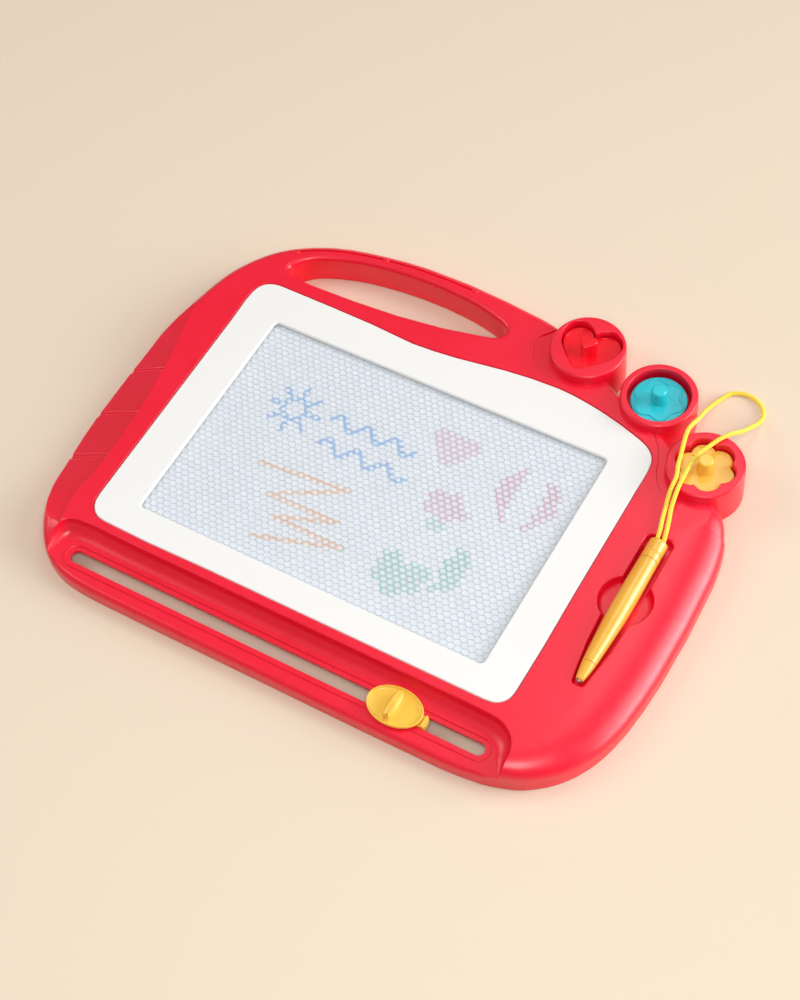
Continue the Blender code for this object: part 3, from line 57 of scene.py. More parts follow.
# Screen and bezel, as in the CAD
SCREEN_WIDTH = 0.2284
SCREEN_HEIGHT = 0.152
SCREEN_CORNER = 0.003
BEZEL_LEFT = 0.026
BEZEL_RIGHT = 0.024
BEZEL_FRONT = 0.0184
BEZEL_BACK = 0.0325
BEZEL_THICKNESS = 0.0018
BEZEL_EDGE = 0.0009
BEZEL_GAP = 0.0005
WINDOW_SLOPE = 0.0012
FILM_THICKNESS = 0.0005
FILM_GAP = 0.0002
HONEYCOMB_THICKNESS = 0.0014
SHEET_MARGIN_X = 0.0153
SHEET_MARGIN_Y = 0.0072
FLANGE = 0.003
FLANGE_THICKNESS = 0.0018

# Board
WALL = 0.0024
LEFT_RAIL = 0.0393
RIGHT_RAIL = 0.0638
FRONT_RAIL = 0.0396
BACK_RAIL = 0.0493
DECK_HEIGHT = 0.021
LEDGE_HEIGHT = 0.011
RIM_LIFT = 0.0006
EDGE_RADIUS = 0.007
LIP_RADIUS = 0.004
LIP_TRIM = 0.00005            # keeps the lip's crown out of the ledge's plane
SHOULDER_WIDTH = 0.030
SHOULDER_DROP = 0.013
DECK_RUN = 0.007
APRON_DROP = 0.0012
APRON_EDGE = 0.0003           # rounding of the step round the cups
APRON_STEP = 0.0006           # how far the step stands in on the shoulder
APRON_LINE = 0.0005           # width of the line along the step's foot
APRON_LINE_DEPTH = 0.0006
APRON_LINE_SHIFT = -0.6       # of the line's width, inwards from the step
CREASE = ((0.1430, -0.1155), (0.1510, -0.1173), (0.1583, -0.1188), (0.1660, -0.1200),
          (0.1736, -0.1210))
CREASE_WIDTH = 0.0009
CREASE_DEPTH = 0.00018
GRIP_STEP = 0.0013
GRIP_DROP = 0.0095
GRIP_BAND_DEPTH = 0.0013
GRIP_BAND_WIDTH = 0.0050
GRIP_BAND_TILT = 0.008
GROOVE_INSET = 0.0053
GROOVE_WIDTH = 0.0012
GROOVE_DEPTH = 0.0014
GROOVE_STEPS = 6              # rows between two points of the outline
HANDLE_EDGE = 0.003
LEDGE_EDGE = 0.0008           # rounding of the deck's edge over the ledge
HANDLE_NUBS = ((-0.1433, 0.1152), (-0.0886, 0.1341), (-0.0264, 0.1368))
NUB_LENGTH = 0.0040
NUB_WIDTH = 0.0025
NUB_RISE = 0.0004             # a nub's top above the deck
NUB_ROOT = 1.1                # its foot under the deck, against the groove's depth

# Cups and stamps
CUP_RADIUS = 0.02305
CUP_RISE = 0.006
CUP_EDGE = 0.0014
CUP_MOUTH = 0.0006
WELL_RADIUS = 0.019
WELL_DEPTH = 0.0113
HEART_WIDTH = 0.038
FLOWER_LOBE_REACH = 0.0100
FLOWER_LOBE_RADIUS = 0.0083
FLOWER_LOBES = 6
STAMP_PLAY = 0.0007
ROUND_STAMP_RADIUS = 0.0169
STAMP_THICKNESS = 0.006
STAMP_EDGE = 0.0008
STAMP_KNOB_RADIUS = 0.0050
STAMP_KNOB_HEIGHT = 0.0100
STAMP_KNOB_DRAFT = 0.0004
STAMP_KNOB_CROWN = 0.0014
HEART_KNOB_WIDTH = 0.0108
MAGNET_RADIUS = 0.0085
MAGNET_THICKNESS = 0.0015
LINE_INSET = 0.0009           # raised line on a stamp, from its edge
LINE_WIDTH = 0.0012
LINE_RISE = 0.0006
WAVE_RADIUS = 0.0138          # the wavy line on the round stamp
WAVE_SWING = 0.0014

# Slot and slider
SLOT_WIDTH = 0.008
SLOT_SETBACK = 0.0234
COLLAR_WIDTH = 0.0037
COLLAR_RISE = 0.0006
COLLAR_BEAD = 0.0010          # width of the bead along the collar's outer edge
COLLAR_SINK = 0.0003          # the band inside it, under the ledge
COLLAR_SOFT = 0.0002
KNOB_SETBACK = 0.0319
KNOB_LENGTH = 0.034
KNOB_WIDTH = 0.0238
KNOB_BASE = 0.0014
FIN_LENGTH = 0.019
FIN_WIDTH = 0.0058
FIN_HEIGHT = 0.0062
FIN_SHIFT = -0.0006
POCKET_INSET = 0.0006         # the small pocket at the fin's front end
POCKET_LENGTH = 0.0026
POCKET_WIDTH = 0.0030
POCKET_SOFT = 0.0002
POST_RADIUS = 0.0023
POST_LENGTH = 0.005
NECK_LENGTH = 0.0345
NECK_OFFSET = 0.00275
NECK_CORNER = 0.002
TAB_THICKNESS = 0.0016
TAB_RISE = 0.0016
FOOT_LENGTH = 0.030
FOOT_WIDTH = 0.018
FOOT_THICKNESS = 0.003
TONGUE_LENGTH = 0.026
TONGUE_THICKNESS = 0.0022
SOFT_EDGE = 0.0004

# Back cover, screws and snap tabs
COVER_THICKNESS = 0.002
COVER_EDGE = 0.0006
BACK_SLOT_WIDTH = 0.021
BACK_SLOT_MARGIN = 0.006
RAIL_HEIGHT = 0.0038
RAIL_THICKNESS = 0.0015
RAIL_PAST_SCREEN = 0.0178
SHOE_WIDTH = 0.0054
RIB_HEIGHT = 0.003
RIB_THICKNESS = 0.0014
RIB_SPACING = 0.050
BOSS_RADIUS = 0.0034
SEAT_RADIUS = 0.0034
SEAT_HEIGHT = 0.0042
SEAT_FLOOR = 0.0022
SCREW_HEAD_RADIUS = 0.0027
SCREW_HEAD_HEIGHT = 0.0013
SCREW_RADIUS = 0.0013
SCREW_LENGTH = 0.009
SMALL_SCREW_RADIUS = 0.0010
SMALL_SCREW_LENGTH = 0.0045
SMALL_SCREW_HEAD_RADIUS = 0.0021
SMALL_SCREW_HEAD_HEIGHT = 0.0011
SCREW_SIDES = 32
SCREW_THREADS = 7
THREAD_ROOT_SHARE = 0.82      # a thread's root against the shank
HEAD_CROWN_SHARE = 0.80       # the head's flat top against its width
SCREW_END_SHARE = 0.2         # its end against the shank
CROSS_LENGTH_SHARE = 1.15     # a drive cross against the head's radius
CROSS_WIDTH_SHARE = 0.26
CROSS_DEPTH_SHARE = 0.55
SNAP_LENGTH = 0.012
SNAP_WIDTH = 0.0016
SNAP_DEPTH = 0.0042
SNAP_INSET = 0.0042

# Pen, tray and cord
TRAY_WIDTH = 0.0165
TRAY_SETBACK = 0.0273
TRAY_CAP_ROOM = 0.0043
TRAY_DEPTH = 0.0064
TRAY_EDGE = 0.0014
TRAY_CORNER = 0.0060
FINGER_RADIUS = 0.0155
FINGER_OFFSET = 0.0063
PEN_TOP = 0.03795
PEN_LENGTH = 0.100
PEN_RADIUS = 0.0061
PEN_END_GAP = 0.0012
PEN_SIDES = 72
CORD_DIAMETER = 0.0027
CORD_SPREAD = 0.0039
CORD_SEAT = 0.002
CAP_SPIGOT_RADIUS = 0.0034
TIP_SPIGOT_RADIUS = 0.0023
SPIGOT_LENGTH = 0.007
NIB_RADIUS = 0.0012
NIB_DEPTH = 0.006
TRAY_NUBS = ((0.14575, 0.0196), (0.14675, -0.0604))
TRAY_NUB_RADIUS = 0.0009

# Worked out from the above
BEZEL_WIDTH = BEZEL_LEFT + SCREEN_WIDTH + BEZEL_RIGHT
BEZEL_DEPTH = BEZEL_FRONT + SCREEN_HEIGHT + BEZEL_BACK
BOARD_WIDTH = LEFT_RAIL + BEZEL_WIDTH + RIGHT_RAIL
BOARD_DEPTH = FRONT_RAIL + BEZEL_DEPTH + BACK_RAIL
CUP_SHARES = {"heart": (0.6506, 0.9383), "round": (0.7906, 0.8931), "flower": (0.9090, 0.7817)}
SLOT_SPAN_SHARES = (0.1125, 0.8322)
BOARD_REACH = max(BOARD_DEPTH, CUP_SHARES["heart"][1] * BOARD_DEPTH + CUP_RADIUS)
LEFT = -BOARD_WIDTH / 2
FRONT = -BOARD_REACH / 2
SCREEN_X = LEFT + LEFT_RAIL + BEZEL_LEFT + SCREEN_WIDTH / 2
SCREEN_Y = FRONT + FRONT_RAIL + BEZEL_FRONT + SCREEN_HEIGHT / 2
BEZEL_X = SCREEN_X - SCREEN_WIDTH / 2 - BEZEL_LEFT
BEZEL_Y = SCREEN_Y - SCREEN_HEIGHT / 2 - BEZEL_FRONT
BEZEL_SEAT = DECK_HEIGHT - BEZEL_THICKNESS - GAP
SHEET_TOP = BEZEL_SEAT
SHEET_STACK = 2 * FILM_THICKNESS + HONEYCOMB_THICKNESS + 2 * FILM_GAP
FLANGE_TOP = SHEET_TOP - SHEET_STACK - GAP
FLANGE_UNDER = FLANGE_TOP - FLANGE_THICKNESS
COMB_TOP = SHEET_TOP - FILM_THICKNESS - FILM_GAP
CUP_TOP = DECK_HEIGHT + CUP_RISE
WELL_FLOOR = CUP_TOP - WELL_DEPTH
STAMP_BASE = WELL_FLOOR + GAP
STAMP_TOP = STAMP_BASE + STAMP_THICKNESS
TRAY_FLOOR = DECK_HEIGHT - TRAY_DEPTH
PEN_HEIGHT = TRAY_FLOOR + GAP + PEN_RADIUS
LEDGE_UNDER = LEDGE_HEIGHT - WALL
COLLAR_TOP = LEDGE_HEIGHT + COLLAR_RISE
SLOT_LENGTH = (SLOT_SPAN_SHARES[1] - SLOT_SPAN_SHARES[0]) * BOARD_WIDTH
SLOT_X = LEFT + SLOT_SPAN_SHARES[0] * BOARD_WIDTH + SLOT_LENGTH / 2
SLOT_Y = BEZEL_Y - SLOT_SETBACK
KNOB_X = SCREEN_X + SCREEN_WIDTH / 2 - KNOB_SETBACK
KNOB_UNDER = COLLAR_TOP + GAP
SHEET_WIDTH = SCREEN_WIDTH + 2 * SHEET_MARGIN_X
SHEET_HEIGHT = SCREEN_HEIGHT + 2 * SHEET_MARGIN_Y
TRAY_X = BEZEL_X + BEZEL_WIDTH + TRAY_SETBACK
PEN_TOP_Y = SCREEN_Y + PEN_TOP
TRAY_LENGTH = PEN_END_GAP + PEN_LENGTH + TRAY_CAP_ROOM
TRAY_Y = PEN_TOP_Y + TRAY_CAP_ROOM - TRAY_LENGTH / 2
NECK_X = KNOB_X + NECK_OFFSET
FOOT_TOP = LEDGE_UNDER - GAP
FOOT_UNDER = FOOT_TOP - FOOT_THICKNESS
TONGUE_UNDER = FOOT_UNDER - GAP - TONGUE_THICKNESS
RAIL_Y = SCREEN_Y + SHEET_HEIGHT / 2 + SHOE_WIDTH / 2
RAIL_LENGTH = SCREEN_WIDTH + 2 * RAIL_PAST_SCREEN

# Outlines in shares of the board, as in the CAD
OUTLINE_SHARES = [
    (0.182, 0.001, 0.0, 1.0), (0.320, 0.000, 0.0, 1.0), (0.640, 0.000, 0.0, 1.0),
    (0.780, 0.001, 0.0, 1.0), (0.845, 0.009, 0.05, 0.85), (0.871, 0.0180, 0.20, 0.0),
    (0.902, 0.034, 0.36, 0.0), (0.944, 0.079, 0.60, 0.0), (0.974, 0.144, 0.80, 0.0),
    (0.991, 0.229, 0.95, 0.0), (0.999, 0.345, 1.0, 0.0), (1.000, 0.460, 1.0, 0.0),
    (0.996, 0.582, 1.0, 0.0), (0.986, 0.658, 0.75, 0.0), (0.968, 0.706, 0.30, 0.0),
    (0.938, 0.737, 0.05, 0.0), (0.892, 0.768, 0.0, 0.0), (0.851, 0.808, 0.0, 0.0),
    (0.805, 0.846, 0.0, 0.0), (0.754, 0.866, 0.0, 0.0), (0.712, 0.894, 0.0, 0.0),
    (0.670, 0.932, 0.0, 0.0), (0.617, 0.965, 0.0, 0.0), (0.553, 0.985, 0.0, 0.0),
    (0.486, 0.994, 0.0, 0.0), (0.414, 1.000, 0.0, 0.0), (0.337, 0.999, 0.0, 0.0),
    (0.258, 0.987, 0.0, 0.0), (0.172, 0.959, 0.0, 0.0), (0.095, 0.899, 0.0, 0.0),
    (0.046, 0.809, 0.0, 0.0), (0.022, 0.699, 0.0, 0.0), (0.008, 0.588, 0.0, 0.0),
    (0.002, 0.470, 0.0, 0.0), (0.000, 0.366, 0.0, 0.0), (0.008, 0.250, 0.0, 0.0),
    (0.028, 0.134, 0.0, 0.0), (0.050, 0.075, 0.0, 0.25), (0.078, 0.034, 0.0, 0.85),
    (0.120, 0.009, 0.0, 1.0),
]
BEZEL_SHARES = [
    (0.052, 0.000), (0.300, 0.000), (0.700, 0.000), (0.950, 0.000), (0.978, 0.007),
    (0.995, 0.030), (1.000, 0.066), (1.000, 0.400), (1.000, 0.780), (1.000, 0.862),
    (0.993, 0.900), (0.975, 0.926), (0.935, 0.949), (0.845, 0.982), (0.737, 1.000),
    (0.612, 0.988), (0.504, 0.965), (0.396, 0.953), (0.288, 0.962), (0.180, 0.965),
    (0.075, 0.966), (0.034, 0.963), (0.010, 0.943), (0.000, 0.905), (0.000, 0.780),
    (0.000, 0.400), (0.000, 0.075), (0.005, 0.037), (0.022, 0.010),
]
LEDGE_SHARES = [
    ((0.072, -0.295), (0.074, -0.295)), ((0.072, 0.000), (0.075, 0.000)),
    ((0.072, 0.354), (0.079, 0.295)), ((0.073, 0.582), (0.088, 0.464)),
    ((0.084, 0.774), (0.096, 0.589)), ((0.106, 0.847), (0.114, 0.641)),
    ((0.200, 0.847), (0.200, 0.641)), ((0.700, 0.847), (0.700, 0.641)),
    ((0.785, 0.847), (0.785, 0.641)), ((0.816, 0.840), (0.809, 0.634)),
    ((0.841, 0.796), (0.829, 0.589)), ((0.860, 0.671), (0.843, 0.494)),
    ((0.870, 0.457), (0.851, 0.354)), ((0.872, 0.199), (0.866, 0.192)),
    ((0.872, 0.000), (0.868, 0.000)), ((0.872, -0.295), (0.870, -0.295)),
]
HANDLE_SHARES = [
    (0.137, 0.849), (0.158, 0.843), (0.211, 0.843), (0.263, 0.845), (0.342, 0.852),
    (0.421, 0.866), (0.473, 0.881), (0.498, 0.889), (0.510, 0.898), (0.514, 0.911),
    (0.507, 0.925), (0.473, 0.941), (0.421, 0.953), (0.342, 0.957), (0.263, 0.948),
    (0.211, 0.933), (0.158, 0.904), (0.135, 0.874), (0.131, 0.860),
]
APRON_SHARES = [
    (0.600, 1.060), (0.583, 0.962), (0.566, 0.928), (0.573, 0.889), (0.590, 0.865), (0.614, 0.849),
    (0.656, 0.843), (0.694, 0.848), (0.728, 0.856), (0.780, 0.842), (0.816, 0.808), (0.834, 0.773),
    (0.850, 0.722), (0.873, 0.690), (0.905, 0.669), (0.945, 0.663), (0.981, 0.664), (1.040, 0.668),
    (1.040, 1.060),
]
GRIP_SHARES = [
    (0.079, 0.075), (0.072, 0.130), (0.068, 0.178), (0.073, 0.281), (0.070, 0.384),
    (0.057, 0.521), (0.044, 0.603), (0.031, 0.685), (0.022, 0.720),
]
GRIP_FALL_SHARES = [0.0, 0.45, 0.75, 1.0, 1.0, 0.95, 0.75, 0.30, 0.0]
GRIP_BAND_SHARES = [0.262, 0.379, 0.499]
GROOVE_SPAN_SHARES = (0.124, 0.432)
HEART_SHARES = [
    (0.000, 0.290), (-0.090, 0.375), (-0.235, 0.430), (-0.385, 0.385), (-0.480, 0.265),
    (-0.500, 0.110), (-0.440, -0.060), (-0.310, -0.220), (-0.150, -0.370), (0.000, -0.460),
]
TRAY_SHARES = [
    (0.300, 0.000), (0.424, 0.013), (0.860, 0.250), (1.000, 0.450), (1.000, 0.974), (0.667, 1.000),
]
SCREW_SHARES = [
    (0.060, 0.640), (0.056, 0.400), (0.060, 0.185), (0.095, 0.845), (0.313, 0.815),
    (0.570, 0.945), (0.962, 0.560), (0.966, 0.300), (0.905, 0.115),
]

# The pen's outline from its cap to its nib: share of its length, share of its radius
CAP_SHARES = [
    (0.0000, 0.62), (0.0008, 0.73), (0.0022, 0.81), (0.0045, 0.865), (0.0080, 0.905),
    (0.0120, 0.92), (0.0830, 0.92), (0.0848, 0.908), (0.0858, 0.885), (0.0880, 0.862),
    (0.0910, 0.855), (0.0940, 0.862), (0.0960, 0.885), (0.0968, 0.910), (0.0985, 0.93),
    (0.1350, 0.93), (0.1363, 0.922), (0.1370, 0.905),
]
BARREL_SHARES = [
    (0.1400, 0.905), (0.1408, 0.922), (0.1422, 0.932), (0.1800, 0.940), (0.2300, 0.952),
    (0.2800, 0.966), (0.3300, 0.980), (0.3800, 0.992), (0.4200, 0.998), (0.4600, 1.000),
    (0.5000, 0.994), (0.5400, 0.978), (0.6000, 0.940), (0.6600, 0.888), (0.7200, 0.830),
    (0.7800, 0.768), (0.8300, 0.714), (0.8660, 0.676), (0.8673, 0.664), (0.8680, 0.648),
]
TIP_SHARES = [
    (0.8710, 0.648), (0.8717, 0.664), (0.8730, 0.670), (0.9000, 0.610), (0.9300, 0.541),
    (0.9550, 0.474), (0.9720, 0.421), (0.9800, 0.385), (0.9835, 0.355), (0.9850, 0.315),
]

# The cord's route, as in the CAD
CORD_ROUTE = [
    (0.15230, 0.02200, 0.02100), (0.15230, 0.02470, 0.02100), (0.15160, 0.02950, 0.02330),
    (0.14950, 0.03700, 0.02320), (0.14760, 0.04550, 0.02360), (0.14640, 0.05150, 0.02600),
    (0.14600, 0.05650, 0.02840), (0.14550, 0.06290, 0.02900), (0.14270, 0.07150, 0.02880),
    (0.14050, 0.08050, 0.02870), (0.13860, 0.08810, 0.02900), (0.13720, 0.09560, 0.02820),
    (0.13670, 0.10260, 0.02490), (0.13620, 0.10960, 0.01960), (0.13560, 0.11700, 0.01400),
    (0.13500, 0.12500, 0.00900), (0.13560, 0.13350, 0.00480), (0.13740, 0.14150, 0.00220),
    (0.14150, 0.14900, 0.00165), (0.14720, 0.15200, 0.00165), (0.15280, 0.15230, 0.00165),
    (0.15860, 0.15050, 0.00165), (0.16330, 0.14650, 0.00165), (0.16560, 0.14130, 0.00225),
    (0.16590, 0.13400, 0.00560), (0.16500, 0.12450, 0.01280), (0.16320, 0.11350, 0.02120),
    (0.16000, 0.10450, 0.02790), (0.15620, 0.09780, 0.02900), (0.15280, 0.09050, 0.02870),
    (0.14990, 0.08350, 0.02860), (0.14880, 0.07580, 0.02860), (0.14870, 0.06920, 0.02875),
    (0.14910, 0.06290, 0.02900), (0.14950, 0.05650, 0.02840), (0.15000, 0.05100, 0.02600),
    (0.15100, 0.04500, 0.02360), (0.15340, 0.03700, 0.02320), (0.15540, 0.02950, 0.02330),
    (0.15620, 0.02470, 0.02100), (0.15620, 0.02200, 0.02100),
]
CORD_STEPS = 24
CORD_RING_SPACING = 0.00022
CORD_SIDES = 40
CORD_STRANDS = 4              # strands that run each way round the braid
CORD_PITCH = 0.0070           # length in which a strand goes once round
CORD_RELIEF = 0.00034         # depth between the strands

# Sections of small forms
BAND_SIDE = (                 # a grip band: place across it, share of its depth
    (-0.0002, -0.06), (0.0002, 0.04), (0.0005, 0.14), (0.0007, 0.28), (0.0008, 0.45),
    (0.0009, 0.65), (0.0010, 0.82), (0.0012, 0.94), (0.0015, 1.0),
)
DISH_SIDE = (                 # the finger dish: shares of its radius and of the tray's depth
    (0.78, 0.0), (0.87, 0.03), (0.93, 0.10), (0.97, 0.24), (0.99, 0.45), (1.0, 0.75),
    (1.01, 0.88), (1.035, 0.97), (1.07, 1.0),
)
COLLAR_SIDE = (               # the slot's collar: millimetres inwards, share of its rise
    (0, 0.25), (0.12, 0.75), (0.35, 1.0), (0.65, 1.0), (0.88, 0.75), (1.0, 0.22),
    (1.15, 0.1), (3.2, 0.1), (3.45, 0.0), (3.7, -0.3), (4.2, -0.4),
)
KNOB_SIDE = (                 # the slider's knob: millimetres inwards and upwards
    (1.10, 0.00), (0.62, 0.22), (0.24, 0.62), (0.04, 1.10), (0.00, 1.50), (0.00, 2.30),
    (0.08, 2.60), (0.28, 2.82), (0.55, 2.90), (0.82, 2.84), (1.02, 2.62), (1.15, 2.30),
    (1.32, 2.00), (1.65, 1.76), (2.20, 1.60), (3.10, 1.50), (4.60, 1.43), (6.60, 1.40),
)
FIN_SIDE = (                  # its fin: shares of its width, its length and its rise
    (1.34, 1.07, -0.10), (1.30, 1.05, 0.05), (1.24, 1.02, 0.12), (1.21, 1.00, 0.35),
    (1.17, 0.985, 0.60), (1.09, 0.965, 0.78), (0.96, 0.94, 0.90), (0.75, 0.89, 0.965),
    (0.45, 0.82, 0.995), (0.10, 0.74, 1.0),
)
FIN_POINTS = 64
FIN_POWERS = (0.75, 0.85)     # its plan is fuller than an oval, across and along
FIN_FALL = 0.16               # how far its crest falls towards its ends

# The screen's cells
CELL_HALF_WIDTH = 0.00231
CELL_ROW = 0.00329
CELL_WALL_SHARE = 0.935       # inner edge of a cell's wall against the cell
CELL_SIDE_SHARE = 0.890       # foot of the wall
CELL_RING_SHARE = 0.40        # how far in a mark may reach
CELL_DEPTH = 0.00035
TINT_SPREAD = 0.06            # how much the cells differ
INK_SPREAD = 0.30             # how much the ink differs
INK_INNER = 0.40              # ink in the middle of a cell against its sides
INK_WALL = 0.5                # ink on a wall
INK_POINT = 0.36              # where a side's ink is read, towards the cell's corners
LINE_SHARPNESS = 2.2
MARK_SIDES = (0.35, 0.95, 1.0, 0.90, 0.30, 0.08)

# Light: each lamp's place, what it faces, its sides and its power
LAMPS = {
    "key": ((2.46, 1.45, 1.65), (0.05, 0, 0), (1.7, 1.7), 42.5),
    "low": ((3.0, 1.3, 0.80), (0.10, 0, 0), (2.4, 1.3), 66.0),
    "top": ((0.08, 0.66, 1.30), (0.08, 0, 0), (0.6, 0.6), 2.6),
    "left": ((-1.4, -0.3, 1.3), (-0.05, 0, 0), (0.9, 0.9), 8.0),
    "fill": ((0.40, -0.55, 1.10), (0, 0, 0), (0.35, 0.35), 5.9),
}
SKY_COLOUR = (1.0, 0.985, 0.96)
SKY_STRENGTH = 0.27
FLOOR_HALF = 4.0

# Colours
FLOOR_COLOUR = (0.815, 0.684, 0.540)
RED = (0.890, 0.004, 0.034)
RED_DEEP = (0.855, 0.002, 0.026)
WHITE = (0.876, 0.867, 0.844)
WHITE_DEEP = (0.875, 0.863, 0.838)
YELLOW = (0.930, 0.580, 0.075)
YELLOW_DEEP = (0.955, 0.550, 0.060)
PEN_YELLOW = (0.960, 0.470, 0.055)
PEN_DEEP = (0.930, 0.405, 0.035)
RUBY = (0.920, 0.005, 0.022)
RUBY_DEEP = (0.880, 0.003, 0.016)
TEAL = (0.020, 0.600, 0.680)
TEAL_DEEP = (0.012, 0.540, 0.620)
YARN = (0.99, 0.87, 0.09)
YARN_DEEP = (0.97, 0.78, 0.05)
# painted shade: the colour painted into the hollows between the cord's strands
DENT_SHADE = (0.70, 0.33, 0.005)
FILM = (0.86, 0.90, 0.95)
FILM_HAZE = (0.92, 0.94, 0.97)
STEEL = (0.62, 0.62, 0.64)
STEEL_DEEP = (0.50, 0.50, 0.52)
FERRITE = (0.030, 0.030, 0.032)
FERRITE_GRIT = (0.070, 0.068, 0.066)
CELL_WALL = (0.480, 0.540, 0.625)
CELL_FLOOR = (0.805, 0.838, 0.874)
CELL_CLOUD = (0.70, 0.76, 0.86)
ORANGE_MARK = (0.80, 0.40, 0.16)
BLUE_MARK = (0.05, 0.33, 0.72)
PINK_MARK = (0.60, 0.13, 0.27)
GREEN_MARK = (0.05, 0.45, 0.31)

# Drawn lines and prints on the screen, in millimetres from its middle
ZIGZAG = [(-68, -16), (-10, -10), (-52, -33), (-5, -32), (-41, -45), (5, -46), (-46, -62)]
LEAVES = [
    (PINK_MARK, [(80, 11), (71, 17), (66, 26), (65, 35), (70, 45), (80, 52), (77, 42), (76, 33),
                 (77, 23)]),
    (PINK_MARK, [(89, 10), (99, 16), (104, 26), (104, 36), (99, 45), (91, 51), (93, 41),
                 (94, 32), (93, 21)]),
    (GREEN_MARK, [(63, -47), (72, -43), (78, -35), (78, -26), (74, -17), (67, -12), (65, -20),
                  (64, -30), (65, -39)]),
]

# Camera: solved on the photograph
CAMERA_PLACE = (0.39732891, -0.53457963, 0.99256496)
CAMERA_TURN = (0.582061767578125, 0.08048324286937714, 0.5228679776191711)
CAMERA_LENS = 72.69947814941406
CAMERA_SENSOR = 36.0


# Camera, light and floor

def put(name, data):
    """A new object in the scene."""
    made = bpy.data.objects.new(name, data)
    bpy.context.scene.collection.objects.link(made)
    return made


def camera():
    data = bpy.data.cameras.new("camera")
    data.sensor_fit = "VERTICAL"
    data.sensor_height = CAMERA_SENSOR
    data.lens = CAMERA_LENS
    data.clip_start = 0.05
    data.clip_end = 20.0
    made = put("camera", data)
    made.location = CAMERA_PLACE
    made.rotation_euler = CAMERA_TURN
    bpy.context.scene.camera = made


def lamps():
    for name, (place, target, size, power) in LAMPS.items():
        data = bpy.data.lights.new(name, "AREA")
        data.shape = "RECTANGLE"
        data.size, data.size_y = size
        data.energy = power
        made = put(name, data)
        made.location = place
        aim = Vector(target) - Vector(place)
        made.rotation_euler = aim.to_track_quat("-Z", "Y").to_euler()


def floor_and_sky():
    mesh = bpy.data.meshes.new("floor")
    h = FLOOR_HALF
    mesh.from_pydata([(-h, -h, 0), (h, -h, 0), (h, h, 0), (-h, h, 0)], [], [(0, 1, 2, 3)])
    made = bpy.data.materials.new("floor_paper")
    made.use_nodes = True
    shader = made.node_tree.nodes["Principled BSDF"]
    shader.inputs["Base Color"].default_value = (*FLOOR_COLOUR, 1)
    shader.inputs["Roughness"].default_value = 0.9
    shader.inputs["Specular IOR Level"].default_value = 0.1
    mesh.materials.append(made)
    put("floor", mesh)
    world = bpy.data.worlds.new("studio")
    bpy.context.scene.world = world
    world.use_nodes = True
    sky = world.node_tree.nodes["Background"]
    sky.inputs["Color"].default_value = (*SKY_COLOUR, 1)
    sky.inputs["Strength"].default_value = SKY_STRENGTH


# Outlines

def quarter_steps(steps):
    """Equal angles from 0 to a quarter turn, both included."""
    return [QUARTER * k / steps for k in range(steps + 1)]


def at(share_x, share_y):
    """A place on the board from shares of its width and depth."""
    return LEFT + share_x * BOARD_WIDTH, FRONT + share_y * BOARD_DEPTH


def on_front(share_x, share_y):
    """A place on the front rail from shares of the board's width and of the rail's depth."""
    return LEFT + share_x * BOARD_WIDTH, FRONT + share_y * FRONT_RAIL


def catmull(p0, p1, p2, p3, gaps, t):
    """A centripetal Catmull-Rom point between p1 and p2; gaps are the root distances."""
    g0, g1, g2 = gaps
    values = []
    for a, b, c, d in zip(p0, p1, p2, p3):
        into = g1 * ((b - a) / g0 - (c - a) / (g0 + g1) + (c - b) / g1)
        out = g1 * ((c - b) / g1 - (d - b) / (g1 + g2) + (d - c) / g2)
        values.append(b + t * into + t * t * (3 * (c - b) - 2 * into - out)
                      + t ** 3 * (2 * (b - c) + into + out))
    return tuple(values)


def root_gap(a, b):
    return math.sqrt(math.dist(a[:2], b[:2]))


def turn_between(a, b, c, d):
    """How far a curve turns from chord a-b to chord c-d."""
    first = Vector((b[0] - a[0], b[1] - a[1]))
    last = Vector((d[0] - c[0], d[1] - c[1]))
    return abs(first.angle_signed(last))


def smooth_loop(points):
    """A closed smooth curve through the points, with more points where it turns more."""
    count = len(points)
    loop = []
    for i in range(count):
        p0, p1, p2, p3 = (points[(i + k) % count] for k in (-1, 0, 1, 2))
        gaps = root_gap(p0, p1), root_gap(p1, p2), root_gap(p2, p3)
        turn = (turn_between(p0, p1, p1, p2) + turn_between(p1, p2, p2, p3)) / 2
        steps = max(1, round(turn / FACET_ANGLE))
        loop += [catmull(p0, p1, p2, p3, gaps, k / steps) for k in range(steps)]
    return loop


def smooth_line(points, steps):
    """An open smooth curve through the points, with some steps between each two."""
    before = tuple(2 * a - b for a, b in zip(points[0], points[1]))
    after = tuple(2 * a - b for a, b in zip(points[-1], points[-2]))
    padded = [before, *points, after]
    line = []
    for i in range(1, len(padded) - 2):
        p0, p1, p2, p3 = padded[i - 1:i + 3]
        gaps = [math.sqrt(math.dist(a, b)) for a, b in zip(padded[i - 1:], padded[i:i + 3])]
        line += [catmull(p0, p1, p2, p3, gaps, k / steps) for k in range(steps)]
    return line + [points[-1]]


def even_line(line, spacing):
    """Points at equal steps along a line, its two ends kept."""
    reach = [0.0]
    for a, b in zip(line, line[1:]):
        reach.append(reach[-1] + math.dist(a, b))
    count = round(reach[-1] / spacing)
    even = []
    i = 0
    for k in range(count):
        along = reach[-1] * k / count
        while reach[i + 1] <= along:
            i += 1
        share = (along - reach[i]) / (reach[i + 1] - reach[i])
        even.append(tuple(a + (b - a) * share for a, b in zip(line[i], line[i + 1])))
    return even + [line[-1]]


